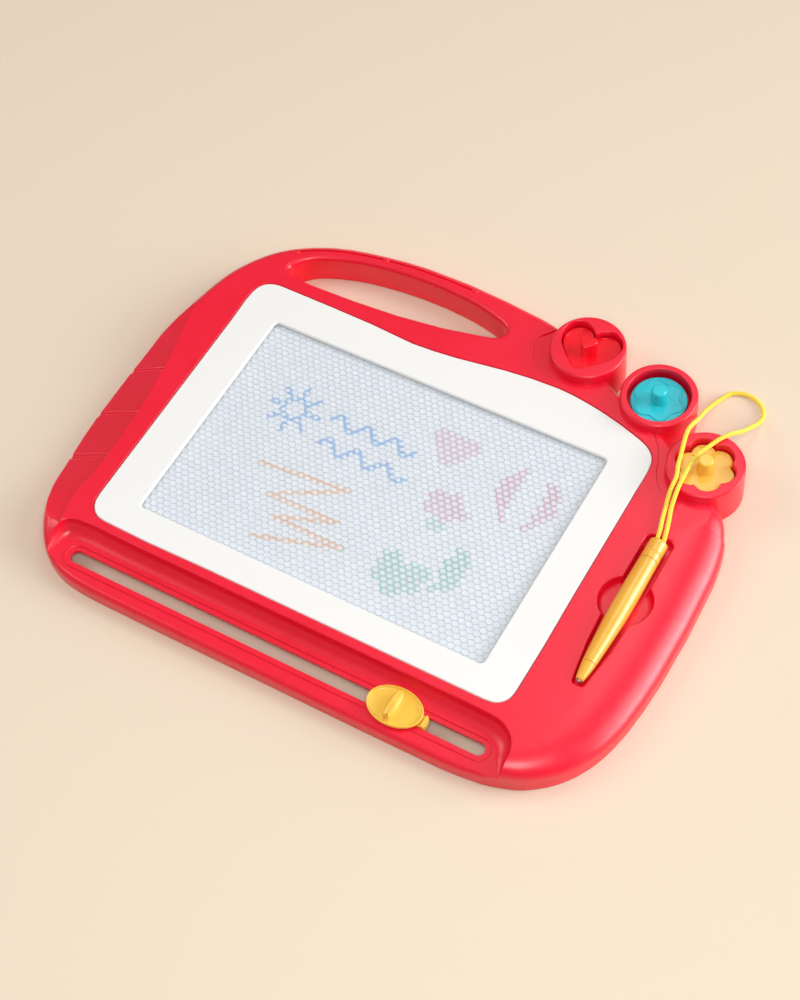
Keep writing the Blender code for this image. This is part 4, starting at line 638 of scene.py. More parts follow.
def offset_loop(loop, distance):
    """The loop moved outwards by a distance, or by one distance for each point."""
    count = len(loop)
    moved = []
    for i in range(count):
        before = Vector(loop[i][:2]) - Vector(loop[i - 1][:2])
        after = Vector(loop[(i + 1) % count][:2]) - Vector(loop[i][:2])
        normal = (Vector((before.y, -before.x)).normalized()
                  + Vector((after.y, -after.x)).normalized()).normalized()
        half_turn = before.angle(after) / 2
        step = distance[i] if isinstance(distance, list) else distance
        reach = step / max(math.cos(half_turn), math.cos(QUARTER / 2))
        place = Vector(loop[i][:2]) + normal * reach
        moved.append((place.x, place.y))
    return moved


def midpoints(loop):
    return [((a[0] + b[0]) / 2, (a[1] + b[1]) / 2) for a, b in zip(loop, loop[1:] + loop[:1])]


def oval(x, y, length, width, sides):
    return [(x + length / 2 * math.cos(angle), y + width / 2 * math.sin(angle))
            for angle in (TURN * i / sides for i in range(sides))]


def circle(x, y, radius, sides):
    return oval(x, y, 2 * radius, 2 * radius, sides)


def rounded_box(x, y, length, width, radius):
    """A rectangle about x, y with round corners; a radius of half the width gives a stadium."""
    sides = max(2, round(QUARTER / FACET_ANGLE / 2))
    loop = []
    for corner, (sx, sy) in enumerate(((1, 1), (-1, 1), (-1, -1), (1, -1))):
        cx = x + sx * (length / 2 - radius)
        cy = y + sy * (width / 2 - radius)
        for i in range(sides + 1):
            angle = QUARTER * (corner + i / sides)
            loop.append((cx + radius * math.cos(angle), cy + radius * math.sin(angle)))
    return without_doubles(loop)


def rounded(loop, radius, steps=6):
    """The loop with its corners made round."""
    made = []
    count = len(loop)
    for i, corner in enumerate(loop):
        here = Vector(corner)
        before = Vector(loop[i - 1]) - here
        after = Vector(loop[(i + 1) % count]) - here
        turn = math.pi - before.angle(after)
        reach = min(radius * math.tan(turn / 2), ROUNDING_SHARE * before.length,
                    ROUNDING_SHARE * after.length)
        first = here + before.normalized() * reach
        last = here + after.normalized() * reach
        for k in range(steps + 1):
            t = k / steps
            point = first * (1 - t) ** 2 + here * 2 * t * (1 - t) + last * t ** 2
            made.append((point.x, point.y))
    return without_doubles(made)


def without_doubles(loop):
    return [p for i, p in enumerate(loop) if math.dist(p, loop[i - 1]) > POINT_GAP]


def heart(x, y, width):
    """A heart with a soft notch, anticlockwise from the notch."""
    right = [(-sx, sy) for sx, sy in reversed(HEART_SHARES[1:-1])]
    return smooth_loop([(x + sx * width, y + sy * width) for sx, sy in HEART_SHARES + right])


def flower(x, y, play):
    """Round lobes in a ring, drawn in all round by the play."""
    lobe = FLOWER_LOBE_RADIUS - play
    loop = []
    for i in range(FLOWER_LOBES * LOBE_SIDES):
        angle = TURN * i / (FLOWER_LOBES * LOBE_SIDES)
        swing = (i % LOBE_SIDES) / LOBE_SIDES
        off = TURN / FLOWER_LOBES * (swing - round(swing))
        side = FLOWER_LOBE_REACH * math.sin(off)
        reach = FLOWER_LOBE_REACH * math.cos(off) + math.sqrt(lobe ** 2 - side ** 2)
        loop.append((x + reach * math.cos(angle), y + reach * math.sin(angle)))
    return loop


# Solids

def add_object(name, mesh):
    mesh.shade_smooth()
    mesh.set_sharp_from_angle(angle=SHARP_ANGLE)
    return put(name, mesh)


def stack(name, rings):
    """A closed solid through rings of equally many points, lowest first, anticlockwise."""
    count = len(rings[0])
    points = [point for ring in rings for point in ring]
    faces = [tuple(reversed(range(count)))]
    for level_number in range(len(rings) - 1):
        low = level_number * count
        high = low + count
        for i in range(count):
            j = (i + 1) % count
            faces.append((low + i, low + j, high + j, high + i))
    top = (len(rings) - 1) * count
    faces.append(tuple(range(top, top + count)))
    mesh = bpy.data.meshes.new(name)
    mesh.from_pydata(points, [], faces)
    return add_object(name, mesh)


def level(loop, height):
    return [(point[0], point[1], height) for point in loop]


def rounded_rings(loop, low, high, lower_edge, edge, flare, steps):
    """Rings from low to high: the lower edge is rounded, and the upper one inwards or outwards."""
    angles = quarter_steps(steps)
    rings = []
    if lower_edge:
        rings += [level(offset_loop(loop, -lower_edge * (1 - math.sin(angle))),
                        low + lower_edge * (1 - math.cos(angle))) for angle in angles[:-1]]
    rings += [level(loop, low + lower_edge), level(loop, high - edge)]
    if edge:
        rings += [level(offset_loop(loop, flare * edge * (1 - math.cos(angle))),
                        high - edge * (1 - math.sin(angle))) for angle in angles[1:]]
    return rings


def plate(name, loop, low, high, edge=0.0, lower_edge=0.0, steps=ROUND_STEPS):
    """A flat solid on a loop, with its upper and lower edges rounded by a radius."""
    return stack(name, rounded_rings(loop, low, high, lower_edge, edge, -1, steps))


def recess(name, loop, low, high, edge=0.0, floor_edge=0.0, steps=ROUND_STEPS):
    """A cutter from low up past high: its mouth is rounded outwards and its floor inwards."""
    rings = rounded_rings(loop, low, high, floor_edge, edge, 1, steps)
    return stack(name, [*rings, level(offset_loop(loop, edge), high + OVERRUN)])


def block(name, x, y, low, length, width, height):
    """A box centred on x, y that stands on the height low."""
    half_x = length / 2
    half_y = width / 2
    loop = [(x - half_x, y - half_y), (x + half_x, y - half_y),
            (x + half_x, y + half_y), (x - half_x, y + half_y)]
    return stack(name, [level(loop, low), level(loop, low + height)])


def rod(name, x, y, low, high, radius, sides=ROUND_SIDES):
    loop = circle(x, y, radius, sides)
    return stack(name, [level(loop, low), level(loop, high)])


def rods(name, places, low, high, radius):
    """A rod at each place, numbered from 1."""
    return [rod(f"{name}_{number}", x, y, low, high, radius, SCREW_SIDES)
            for number, (x, y) in enumerate(places, 1)]


def combine(target, tools, operation):
    for tool in tools:
        modifier = target.modifiers.new(tool.name, "BOOLEAN")
        modifier.operation = operation
        modifier.solver = "EXACT"
        modifier.object = tool


def join(target, *tools):
    combine(target, tools, "UNION")


def cut(target, *tools):
    combine(target, tools, "DIFFERENCE")


def settle(thing):
    """Works out the modifiers of a piece once, and removes the solids that shaped it."""
    graph = bpy.context.evaluated_depsgraph_get()
    mesh = bpy.data.meshes.new_from_object(thing.evaluated_get(graph))
    tools = []
    todo = [thing]
    while todo:
        for modifier in todo.pop().modifiers:
            if modifier.type == "BOOLEAN" and modifier.object not in tools:
                tools.append(modifier.object)
                todo.append(modifier.object)
    thing.modifiers.clear()
    thing.data = mesh
    for tool in tools:
        bpy.data.objects.remove(tool)
    mesh.shade_smooth()
    mesh.set_sharp_from_angle(angle=SHARP_ANGLE)
    weigh = thing.modifiers.new("even_shading", "WEIGHTED_NORMAL")
    weigh.keep_sharp = True
    return thing


def dress(thing, node, body, finish):
    """The piece stands for a CAD node: it rides on the node's body and wears its finish."""
    thing.data.materials.clear()
    thing.data.materials.append(finish)
    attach(thing, body)
    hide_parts(node)
    return thing


# The board's own outlines

def spans(points):
    """Lowest and highest x, then lowest and highest y."""
    return [(min(p[k] for p in points), max(p[k] for p in points)) for k in (0, 1)]


def board_outline():
    """The outer outline; each point also carries its shoulder and its ledge share."""
    loop = smooth_loop([(*at(sx, sy), shoulder, lip) for sx, sy, shoulder, lip in OUTLINE_SHARES])
    (low_x, high_x), (low_y, high_y) = spans(loop)
    fitted = []
    for x, y, shoulder, lip in loop:
        across = LEFT + (x - low_x) / (high_x - low_x) * BOARD_WIDTH
        along = FRONT + (y - low_y) / (high_y - low_y) * BOARD_DEPTH
        fitted.append((across, along, min(1, max(0, shoulder)), min(1, max(0, lip))))
    return fitted


def body_rings(outline, wall, low, steps=2 * ROUND_STEPS):
    """Rings of the shell's outer face, or with a wall those of its inner face."""
    plan = [point[:2] for point in outline]
    widths = []
    drops = []
    crowns = []
    for _, _, shoulder, lip in outline:
        edge = EDGE_RADIUS + lip * (LIP_RADIUS - EDGE_RADIUS)
        widths.append(edge + shoulder * (SHOULDER_WIDTH - edge))
        drops.append(edge + shoulder * (SHOULDER_DROP - edge))
        crowns.append(DECK_HEIGHT + lip * (LEDGE_HEIGHT + LIP_TRIM - DECK_HEIGHT))
    base = offset_loop(plan, -wall)
    rings = [level(base, low)]
    for angle in quarter_steps(steps):
        insets = [-(w - (w - wall) * math.cos(angle)) for w in widths]
        ring = offset_loop(plan, insets)
        heights = [c - d + (d - wall) * math.sin(angle) for c, d in zip(crowns, drops)]
        rings.append([(p[0], p[1], z) for p, z in zip(ring, heights)])
    inner = offset_loop(plan, [-(w + DECK_RUN) for w in widths])
    rings.append(level(inner, DECK_HEIGHT - wall))
    return rings


def bezel_outline():
    return smooth_loop([(BEZEL_X + sx * BEZEL_WIDTH, BEZEL_Y + sy * BEZEL_DEPTH)
                        for sx, sy in BEZEL_SHARES])


def sheet_outline(margin):
    return rounded_box(SCREEN_X, SCREEN_Y, SHEET_WIDTH + 2 * margin, SHEET_HEIGHT + 2 * margin,
                       SCREEN_CORNER)


def slot_outline(margin):
    width = SLOT_WIDTH + 2 * margin
    return rounded_box(SLOT_X, SLOT_Y, SLOT_LENGTH + 2 * margin, width, width / 2)


def tray_outline(margin):
    """The pen tray: straight at the cap's end, tapering to the tip's end."""
    front = TRAY_Y - TRAY_LENGTH / 2
    right = [(out * TRAY_WIDTH / 2, front + along * TRAY_LENGTH) for out, along in TRAY_SHARES]
    loop = [(TRAY_X + x, y) for x, y in right]
    loop += [(TRAY_X - x, y) for x, y in reversed(right)]
    return offset_loop(rounded(loop, TRAY_CORNER), margin)


def ledge_rings(wall, steps=3 * ROUND_STEPS):
    """Rings from the ledge's foot up to its edge on the deck, grown by a wall."""
    both = smooth_loop([(*on_front(*edge), *on_front(*foot)) for edge, foot in LEDGE_SHARES])
    loop = list(reversed(both))
    rings = []
    for angle in quarter_steps(steps):
        rise = 1 - math.cos(angle)
        mix = math.sin(angle)
        ring = [(f_x + (e_x - f_x) * mix, f_y + (e_y - f_y) * mix) for e_x, e_y, f_x, f_y in loop]
        height = LEDGE_HEIGHT + (DECK_HEIGHT - LEDGE_EDGE - LEDGE_HEIGHT) * rise - wall
        rings.append(level(offset_loop(ring, wall), height))
    top = [p[:2] for p in rings[-1]]
    if not wall:
        for angle in quarter_steps(ROUND_STEPS)[1:]:
            flare = LEDGE_EDGE * (1 - math.cos(angle))
            rings.append(level(offset_loop(top, flare),
                               DECK_HEIGHT - LEDGE_EDGE * (1 - math.sin(angle))))
        top = offset_loop(top, LEDGE_EDGE)
    rings.append(level(top, DECK_HEIGHT + OVERRUN))
    return rings


def grip_rows(lower):
    """Inner and outer points of the grip's sloping face, front to back, sunk by a depth."""
    rows = []
    span = GRIP_SHARES[4][0] * BOARD_WIDTH
    for (x, y, fall) in smooth_line([(*at(sx, sy), fall) for (sx, sy), fall
                                     in zip(GRIP_SHARES, GRIP_FALL_SHARES)], GRIP_STEPS):
        inside = DECK_HEIGHT - GRIP_STEP - lower
        outer_x = LEFT - OVERRUN
        outside = inside - GRIP_DROP * fall * (x - outer_x) / span
        rows.append(((x, y, inside), (outer_x, y, outside)))
    return rows


def band_solid(name, share):
    """A soft-edged trough across the grip's face, over the share where it starts."""
    low_y = at(0, share)[1]
    span = GRIP_BAND_WIDTH
    steps = [(offset, depth * GRIP_BAND_DEPTH) for offset, depth in BAND_SIDE]
    steps += [(span - offset, depth) for offset, depth in reversed(steps)]
    band = []
    for offset, depth in steps:
        y = low_y + offset
        rows = grip_rows(depth)
        inner, outer = min(rows, key=lambda row: abs(row[0][1] - low_y - span / 2))
        band.append(((inner[0], y, inner[2]), (outer[0], y - GRIP_BAND_TILT, outer[2])))
    return strip_solid(name, band, DECK_HEIGHT + OVERRUN)


def strip_solid(name, rows, top):
    """A solid under a flat top at a height, whose underside runs through pairs of points."""
    points = []
    for inner, outer in rows:
        points += [inner, outer, (inner[0], inner[1], top), (outer[0], outer[1], top)]
    faces = []
    for i in range(len(rows) - 1):
        a = 4 * i
        b = a + 4
        faces += [(a, b, b + 1, a + 1), (a + 2, a + 3, b + 3, b + 2),
                  (a, a + 2, b + 2, b), (a + 1, b + 1, b + 3, a + 3)]
    last = 4 * (len(rows) - 1)
    faces += [(0, 1, 3, 2), (last, last + 2, last + 3, last + 1)]
    return outward(name, points, faces)


def outward(name, points, faces):
    """An object from points and faces whose normals are turned outwards."""
    mesh = bpy.data.meshes.new(name)
    mesh.from_pydata(points, [], faces)
    tidy = bmesh.new()
    tidy.from_mesh(mesh)
    bmesh.ops.recalc_face_normals(tidy, faces=tidy.faces)
    tidy.to_mesh(mesh)
    tidy.free()
    return add_object(name, mesh)


def groove_solid(outline):
    """The thin groove along the handle's outer edge."""
    first, last = (LEFT + share * BOARD_WIDTH for share in GROOVE_SPAN_SHARES)
    plan = [point[:2] for point in outline]
    outer = midpoints(offset_loop(plan, -GROOVE_INSET))
    inner = midpoints(offset_loop(plan, -GROOVE_INSET - GROOVE_WIDTH))
    low = DECK_HEIGHT - GROOVE_DEPTH
    coarse = [(Vector((*i, low)), Vector((*o, low))) for i, o in zip(inner, outer)]
    rows = [(i.lerp(j, step / GROOVE_STEPS), o.lerp(p, step / GROOVE_STEPS))
            for (i, o), (j, p) in zip(coarse, coarse[1:]) for step in range(GROOVE_STEPS)]
    return strip_solid("groove", [row for row in rows if first < row[1].x < last
                                  and row[1].y > SCREEN_Y], DECK_HEIGHT + OVERRUN)


def cups():
    """Kind and middle of each cup."""
    return [(kind, *at(*share)) for kind, share in CUP_SHARES.items()]


def well_outline(kind, play):
    x, y = at(*CUP_SHARES[kind])
    if kind == "heart":
        return offset_loop(heart(x, y, HEART_WIDTH), -play)
    if kind == "flower":
        return flower(x, y, play)
    radius = WELL_RADIUS if play == 0 else ROUND_STAMP_RADIUS
    return circle(x, y, radius, ROUND_SIDES)


def handle_outline():
    return smooth_loop([at(sx, sy) for sx, sy in HANDLE_SHARES])


def smooth_apron():
    """The apron's outline: smooth round the cups, square beyond the board."""
    edge = smooth_line([at(sx, sy) for sx, sy in APRON_SHARES[:-1]], GRIP_STEPS)
    return edge + [at(*APRON_SHARES[-1])]


def shell_hollow(outline, bezel):
    """The space inside the shell: its inner face, less every part that stands in it."""
    hollow = stack("hollow", body_rings(outline, WALL, -OVERRUN, 4))
    for kind, x, y in cups():
        join(hollow, rod(f"cup_hollow_{kind}", x, y, -OVERRUN, WELL_FLOOR - WALL,
                         CUP_RADIUS - WALL))
    high = DECK_HEIGHT + OVERRUN
    blocks = [
        plate("apron_block", offset_loop(smooth_apron(), WALL), DECK_HEIGHT - APRON_DROP - WALL,
              high),
        strip_solid("grip_block", grip_rows(WALL), high),
        plate("handle_block", offset_loop(handle_outline(), WALL), -2 * OVERRUN, high),
        stack("ledge_block", ledge_rings(WALL, 4)),
        plate("tray_block", tray_outline(WALL), TRAY_FLOOR - WALL, high),
        rod("finger_block", TRAY_X, TRAY_Y + FINGER_OFFSET, TRAY_FLOOR - WALL, high,
            FINGER_RADIUS + WALL),
        plate("bezel_block", offset_loop(bezel, WALL), BEZEL_SEAT - WALL, high),
        plate("sheet_block", sheet_outline(WALL), FLANGE_UNDER, high),
        *(rod(f"well_block_{kind}", x, y, WELL_FLOOR - WALL, high, CUP_RADIUS - WALL / 2)
          for kind, x, y in cups()),
        *rods("boss", screw_places(), SEAT_HEIGHT + GAP, high, BOSS_RADIUS),
    ]
    cut(hollow, *blocks)
    join(hollow, *rods("pilot", screw_places(), -OVERRUN / 2, SEAT_FLOOR + SCREW_LENGTH,
                       SCREW_RADIUS + GAP))
    return hollow


def front_shell(outline, bezel):
    """The red moulding: deck, handle, grip, front ledge, cups and pen tray."""
    shell = stack("shell", body_rings(outline, 0, -OVERRUN))
    cut(shell,
        recess("apron_cut", smooth_apron(), DECK_HEIGHT - APRON_DROP, DECK_HEIGHT, APRON_EDGE,
               APRON_EDGE),
        strip_solid("grip_cut", grip_rows(0), DECK_HEIGHT + OVERRUN),
        shoulder_step(outline))
    cut(shell,
        *scored("apron_line", offset_loop(smooth_apron(), APRON_LINE_SHIFT * APRON_LINE)[:-1],
                APRON_LINE, body_rings(outline, APRON_STEP, 0), DECK_HEIGHT - APRON_DROP,
                APRON_LINE_DEPTH),
        *scored("crease", smooth_line(CREASE, GRIP_STEPS), CREASE_WIDTH,
                body_rings(outline, 0, 0), DECK_HEIGHT, CREASE_DEPTH))
    cut(shell, *(band_solid(f"band_{number}", share)
                 for number, share in enumerate(GRIP_BAND_SHARES, 1)), groove_solid(outline))
    for kind, x, y in cups():
        join(shell, plate(f"cup_{kind}", circle(x, y, CUP_RADIUS, ROUND_SIDES), -2 * OVERRUN,
                          CUP_TOP, edge=CUP_EDGE))
    cut(shell, block("rim_cut", 0, 0, -3 * OVERRUN, 2 * BOARD_WIDTH, 2 * BOARD_REACH,
                     RIM_LIFT + 3 * OVERRUN))
    cut(shell, shell_hollow(outline, bezel))
    cut(shell, stack("ledge_cut", ledge_rings(0)))
    join(shell, collar())
    cut(shell, recess("collar_cut", slot_outline(COLLAR_WIDTH - COLLAR_BEAD),
                      LEDGE_HEIGHT - COLLAR_SINK, COLLAR_TOP, COLLAR_SOFT, COLLAR_SOFT))
    cut(shell, plate("slot_cut", slot_outline(0), LEDGE_UNDER - OVERRUN, COLLAR_TOP + OVERRUN))
    cut(shell, recess("handle_cut", handle_outline(), -OVERRUN, DECK_HEIGHT, HANDLE_EDGE))
    cut(shell,
        recess("bezel_cut", offset_loop(bezel, BEZEL_GAP), BEZEL_SEAT, DECK_HEIGHT, GAP),
        plate("sheet_cut", sheet_outline(GAP), FLANGE_TOP, DECK_HEIGHT),
        plate("eraser_opening", sheet_outline(-FLANGE), FLANGE_UNDER - OVERRUN, DECK_HEIGHT))
    for number, (x, y, length, width) in enumerate(snap_places(), 1):
        cut(shell, block(f"snap_slot_{number}", x, y, BEZEL_SEAT - WALL - OVERRUN,
                         length + 2 * GAP, width + 2 * GAP, WALL + 2 * OVERRUN))
    cut(shell,
        recess("tray_cut", tray_outline(0), TRAY_FLOOR, DECK_HEIGHT, TRAY_EDGE, TRAY_EDGE),
        finger_dish())
    for kind in CUP_SHARES:
        cut(shell, recess(f"well_{kind}", well_outline(kind, 0), WELL_FLOOR, CUP_TOP, CUP_MOUTH))
    for number, (x, y) in enumerate(HANDLE_NUBS, 1):
        join(shell, plate(f"nub_{number}", rounded_box(x, y, NUB_LENGTH, NUB_WIDTH, NUB_WIDTH / 3),
                          DECK_HEIGHT - NUB_ROOT * GROOVE_DEPTH, DECK_HEIGHT + NUB_RISE,
                          edge=NUB_WIDTH / 5, steps=3))
    for number, (x, y) in enumerate(TRAY_NUBS, 1):
        join(shell, plate(f"tray_nub_{number}", circle(x, y, TRAY_NUB_RADIUS, SCREW_SIDES),
                          TRAY_FLOOR - WALL / 2, DECK_HEIGHT - TRAY_EDGE,
                          edge=TRAY_NUB_RADIUS * 0.8, steps=4))
    return settle(shell)


def shoulder_step(outline):
    """The step round the cups runs on down the shoulder: what stands out of a smaller body.

    Its side lies a hair inside the step's own, so that no two faces coincide.
    """
    side = plate("apron_side", offset_loop(smooth_apron(), -3 * POINT_GAP), -2 * OVERRUN,
                 DECK_HEIGHT + OVERRUN)
    cut(side, stack("smaller_body", body_rings(outline, APRON_STEP, -3 * OVERRUN)))
    return side


def scored(name, path, width, rings, highest, depth):
    """Solids that cut a thin line along a path into a surface given by rings."""
    count = len(rings[0])
    faces = [(a + i, a + (i + 1) % count, a + count + (i + 1) % count, a + count + i)
             for a in range(0, count * (len(rings) - 1), count) for i in range(count)]
    tree = BVHTree.FromPolygons([place for ring in rings for place in ring], faces)
    runs = [[]]
    for i in range(1, len(path) - 1):
        along = Vector(path[i + 1]) - Vector(path[i - 1])
        across = Vector((-along.y, along.x)).normalized() * (width / 2)
        row = []
        for place in (Vector(path[i]) + across, Vector(path[i]) - across):
            hit = tree.ray_cast(Vector((*place, 1)), Vector((0, 0, -1)))[0]
            if hit:
                row.append((*place, min(hit.z, highest) - depth))
        if len(row) == 2:
            runs[-1].append(row)
        elif runs[-1]:
            runs.append([])
    return [strip_solid(f"{name}_{number}", rows, DECK_HEIGHT + OVERRUN)
            for number, rows in enumerate(runs, 1) if len(rows) > 2]


def screw_places():
    return [at(sx, sy) for sx, sy in SCREW_SHARES]


def snap_places():
    """Middle, length and width of each of the bezel's snap tabs."""
    third = SCREEN_WIDTH / 3
    quarter = SCREEN_HEIGHT / 4
    left = BEZEL_X + SNAP_INSET
    right = BEZEL_X + BEZEL_WIDTH - SNAP_INSET
    front = BEZEL_Y + SNAP_INSET
    back = SCREEN_Y + SHEET_HEIGHT / 2 + SNAP_INSET
    tabs = []
    for side in (-1, 1):
        tabs += [(x, SCREEN_Y + side * quarter, SNAP_WIDTH, SNAP_LENGTH) for x in (left, right)]
        tabs += [(SCREEN_X + side * third, y, SNAP_LENGTH, SNAP_WIDTH) for y in (front, back)]
    return tabs


def collar():
    """The flat band round the slot, with a bead along its outer edge."""
    foot = level(slot_outline(COLLAR_WIDTH), LEDGE_HEIGHT - WALL / 2)
    return stack("collar", [foot] + [
        level(slot_outline(COLLAR_WIDTH - inset * MM), LEDGE_HEIGHT + rise * COLLAR_RISE)
        for inset, rise in COLLAR_SIDE])


def finger_dish():
    """The dished hollow beside the pen."""
    x = TRAY_X
    y = TRAY_Y + FINGER_OFFSET
    high = DISH_SIDE[-1][0], 1 + OVERRUN / TRAY_DEPTH
    return stack("finger_cut", [
        level(circle(x, y, FINGER_RADIUS * share, ROUND_SIDES), TRAY_FLOOR + rise * TRAY_DEPTH)
        for share, rise in (*DISH_SIDE, high)])


# Screen and bezel

def bezel_frame(bezel):
    frame_solid = plate("frame", bezel, BEZEL_SEAT + GAP, DECK_HEIGHT, edge=BEZEL_EDGE)
    for number, (x, y, length, width) in enumerate(snap_places(), 1):
        join(frame_solid, block(f"snap_{number}", x, y,
                                DECK_HEIGHT - SNAP_DEPTH - BEZEL_THICKNESS, length, width,
                                SNAP_DEPTH + BEZEL_THICKNESS / 2))
    cut(frame_solid, recess("window", rounded_box(SCREEN_X, SCREEN_Y, SCREEN_WIDTH,
                                                  SCREEN_HEIGHT, SCREEN_CORNER),
                            BEZEL_SEAT - OVERRUN, DECK_HEIGHT, WINDOW_SLOPE))
    return settle(frame_solid)


# Marks on the screen

def wave(x, y, length, swing, count):
    steps = 12 * count
    return [(x + length * i / steps, y + swing * math.sin(TURN * count * i / steps))
            for i in range(steps + 1)]


def sun_lines(x, y, radius, rays):
    lines = [circle(x, y, radius, 24) + [(x + radius, y)]]
    for i in range(rays):
        angle = TURN * i / rays
        cos, sin = math.cos(angle), math.sin(angle)
        lines.append([(x + radius * 1.5 * cos, y + radius * 1.5 * sin),
                      (x + radius * 2.2 * cos, y + radius * 2.2 * sin)])
    return lines


def on_screen(points):
    """Places in metres from places in millimetres."""
    return [(x * MM, y * MM) for x, y in points]


def mark_shapes():
    """Each mark: its colour, its strength, and lines with half a width or a filled outline."""
    doodle = [*sun_lines(-0.070, 0.026, 0.0075, 8), wave(-0.046, 0.030, 0.056, 0.0042, 3),
              wave(-0.044, 0.012, 0.058, 0.0042, 3)]
    return [
        (ORANGE_MARK, 0.95, [on_screen(ZIGZAG)], 0.0020, None),
        *((colour, 1.0, None, 0, on_screen(leaf)) for colour, leaf in LEAVES),
        (PINK_MARK, 0.75, None, 0, heart(0.030, 0.044, 0.028)),
        (PINK_MARK, 0.85, None, 0, flower_print(0.046, 0.006, 0.0125)),
        (GREEN_MARK, 0.75, None, 0, oval(0.046, -0.007, 0.014, 0.008, 24)),
        (GREEN_MARK, 1.0, None, 0, heart(0.044, -0.047, 0.033)),
        (GREEN_MARK, 0.9, [[(0.004, -0.046), (0.006, -0.046)]], 0.0028, None),
        (BLUE_MARK, 0.95, doodle, 0.0022, None),
    ]


def flower_print(x, y, radius):
    return [(x + radius * (1 + 0.16 * math.cos(5 * a)) * math.cos(a),
             y + radius * 0.78 * (1 + 0.16 * math.cos(5 * a)) * math.sin(a))
            for a in (TURN * i / 60 for i in range(60))]


def line_share(x, y, line, half_width):
    """1 on a line of points, falling to 0 at half a width from it."""
    best = 1.0
    for (ax, ay), (bx, by) in zip(line, line[1:]):
        dx, dy = bx - ax, by - ay
        t = max(0.0, min(1.0, ((x - ax) * dx + (y - ay) * dy) / (dx * dx + dy * dy)))
        best = min(best, math.hypot(x - ax - t * dx, y - ay - t * dy) / half_width)
    return 1.0 - best


def inside(x, y, loop):
    crossings = False
    for (ax, ay), (bx, by) in zip(loop, loop[1:] + loop[:1]):
        if (ay > y) != (by > y) and x < ax + (bx - ax) * (y - ay) / (by - ay):
            crossings = not crossings
    return crossings


def near(x, y, points, reach):
    """Whether a place may be within reach of some points."""
    (low_x, high_x), (low_y, high_y) = spans(points)
    return low_x - reach < x < high_x + reach and low_y - reach < y < high_y + reach


def drawn_mark(x, y, shapes):
    """The colour and strength of the drawn line at a place."""
    for colour, strength, lines, half_width, _ in shapes:
        for line in lines or ():
            if near(x, y, line, half_width):
                share = line_share(x, y, line, half_width)
                if share > 0:
                    return colour, strength * min(1.0, LINE_SHARPNESS * share)
    return None


def stamped_mark(x, y, shapes):
    """The colour and strength of the stamped print over a cell."""
    for colour, strength, _, _, loop in shapes:
        if loop and near(x, y, loop, 0) and inside(x, y, loop):
            return colour, strength
    return None


def spread(row, column):
    """A fixed number from 0 to 1 for each cell."""
    value = math.sin(row * 12.9898 + column * 78.233) * 43758.5453
    return value - math.floor(value)


def mixed(first, second, share):
    return tuple(a + (b - a) * share for a, b in zip(first, second))


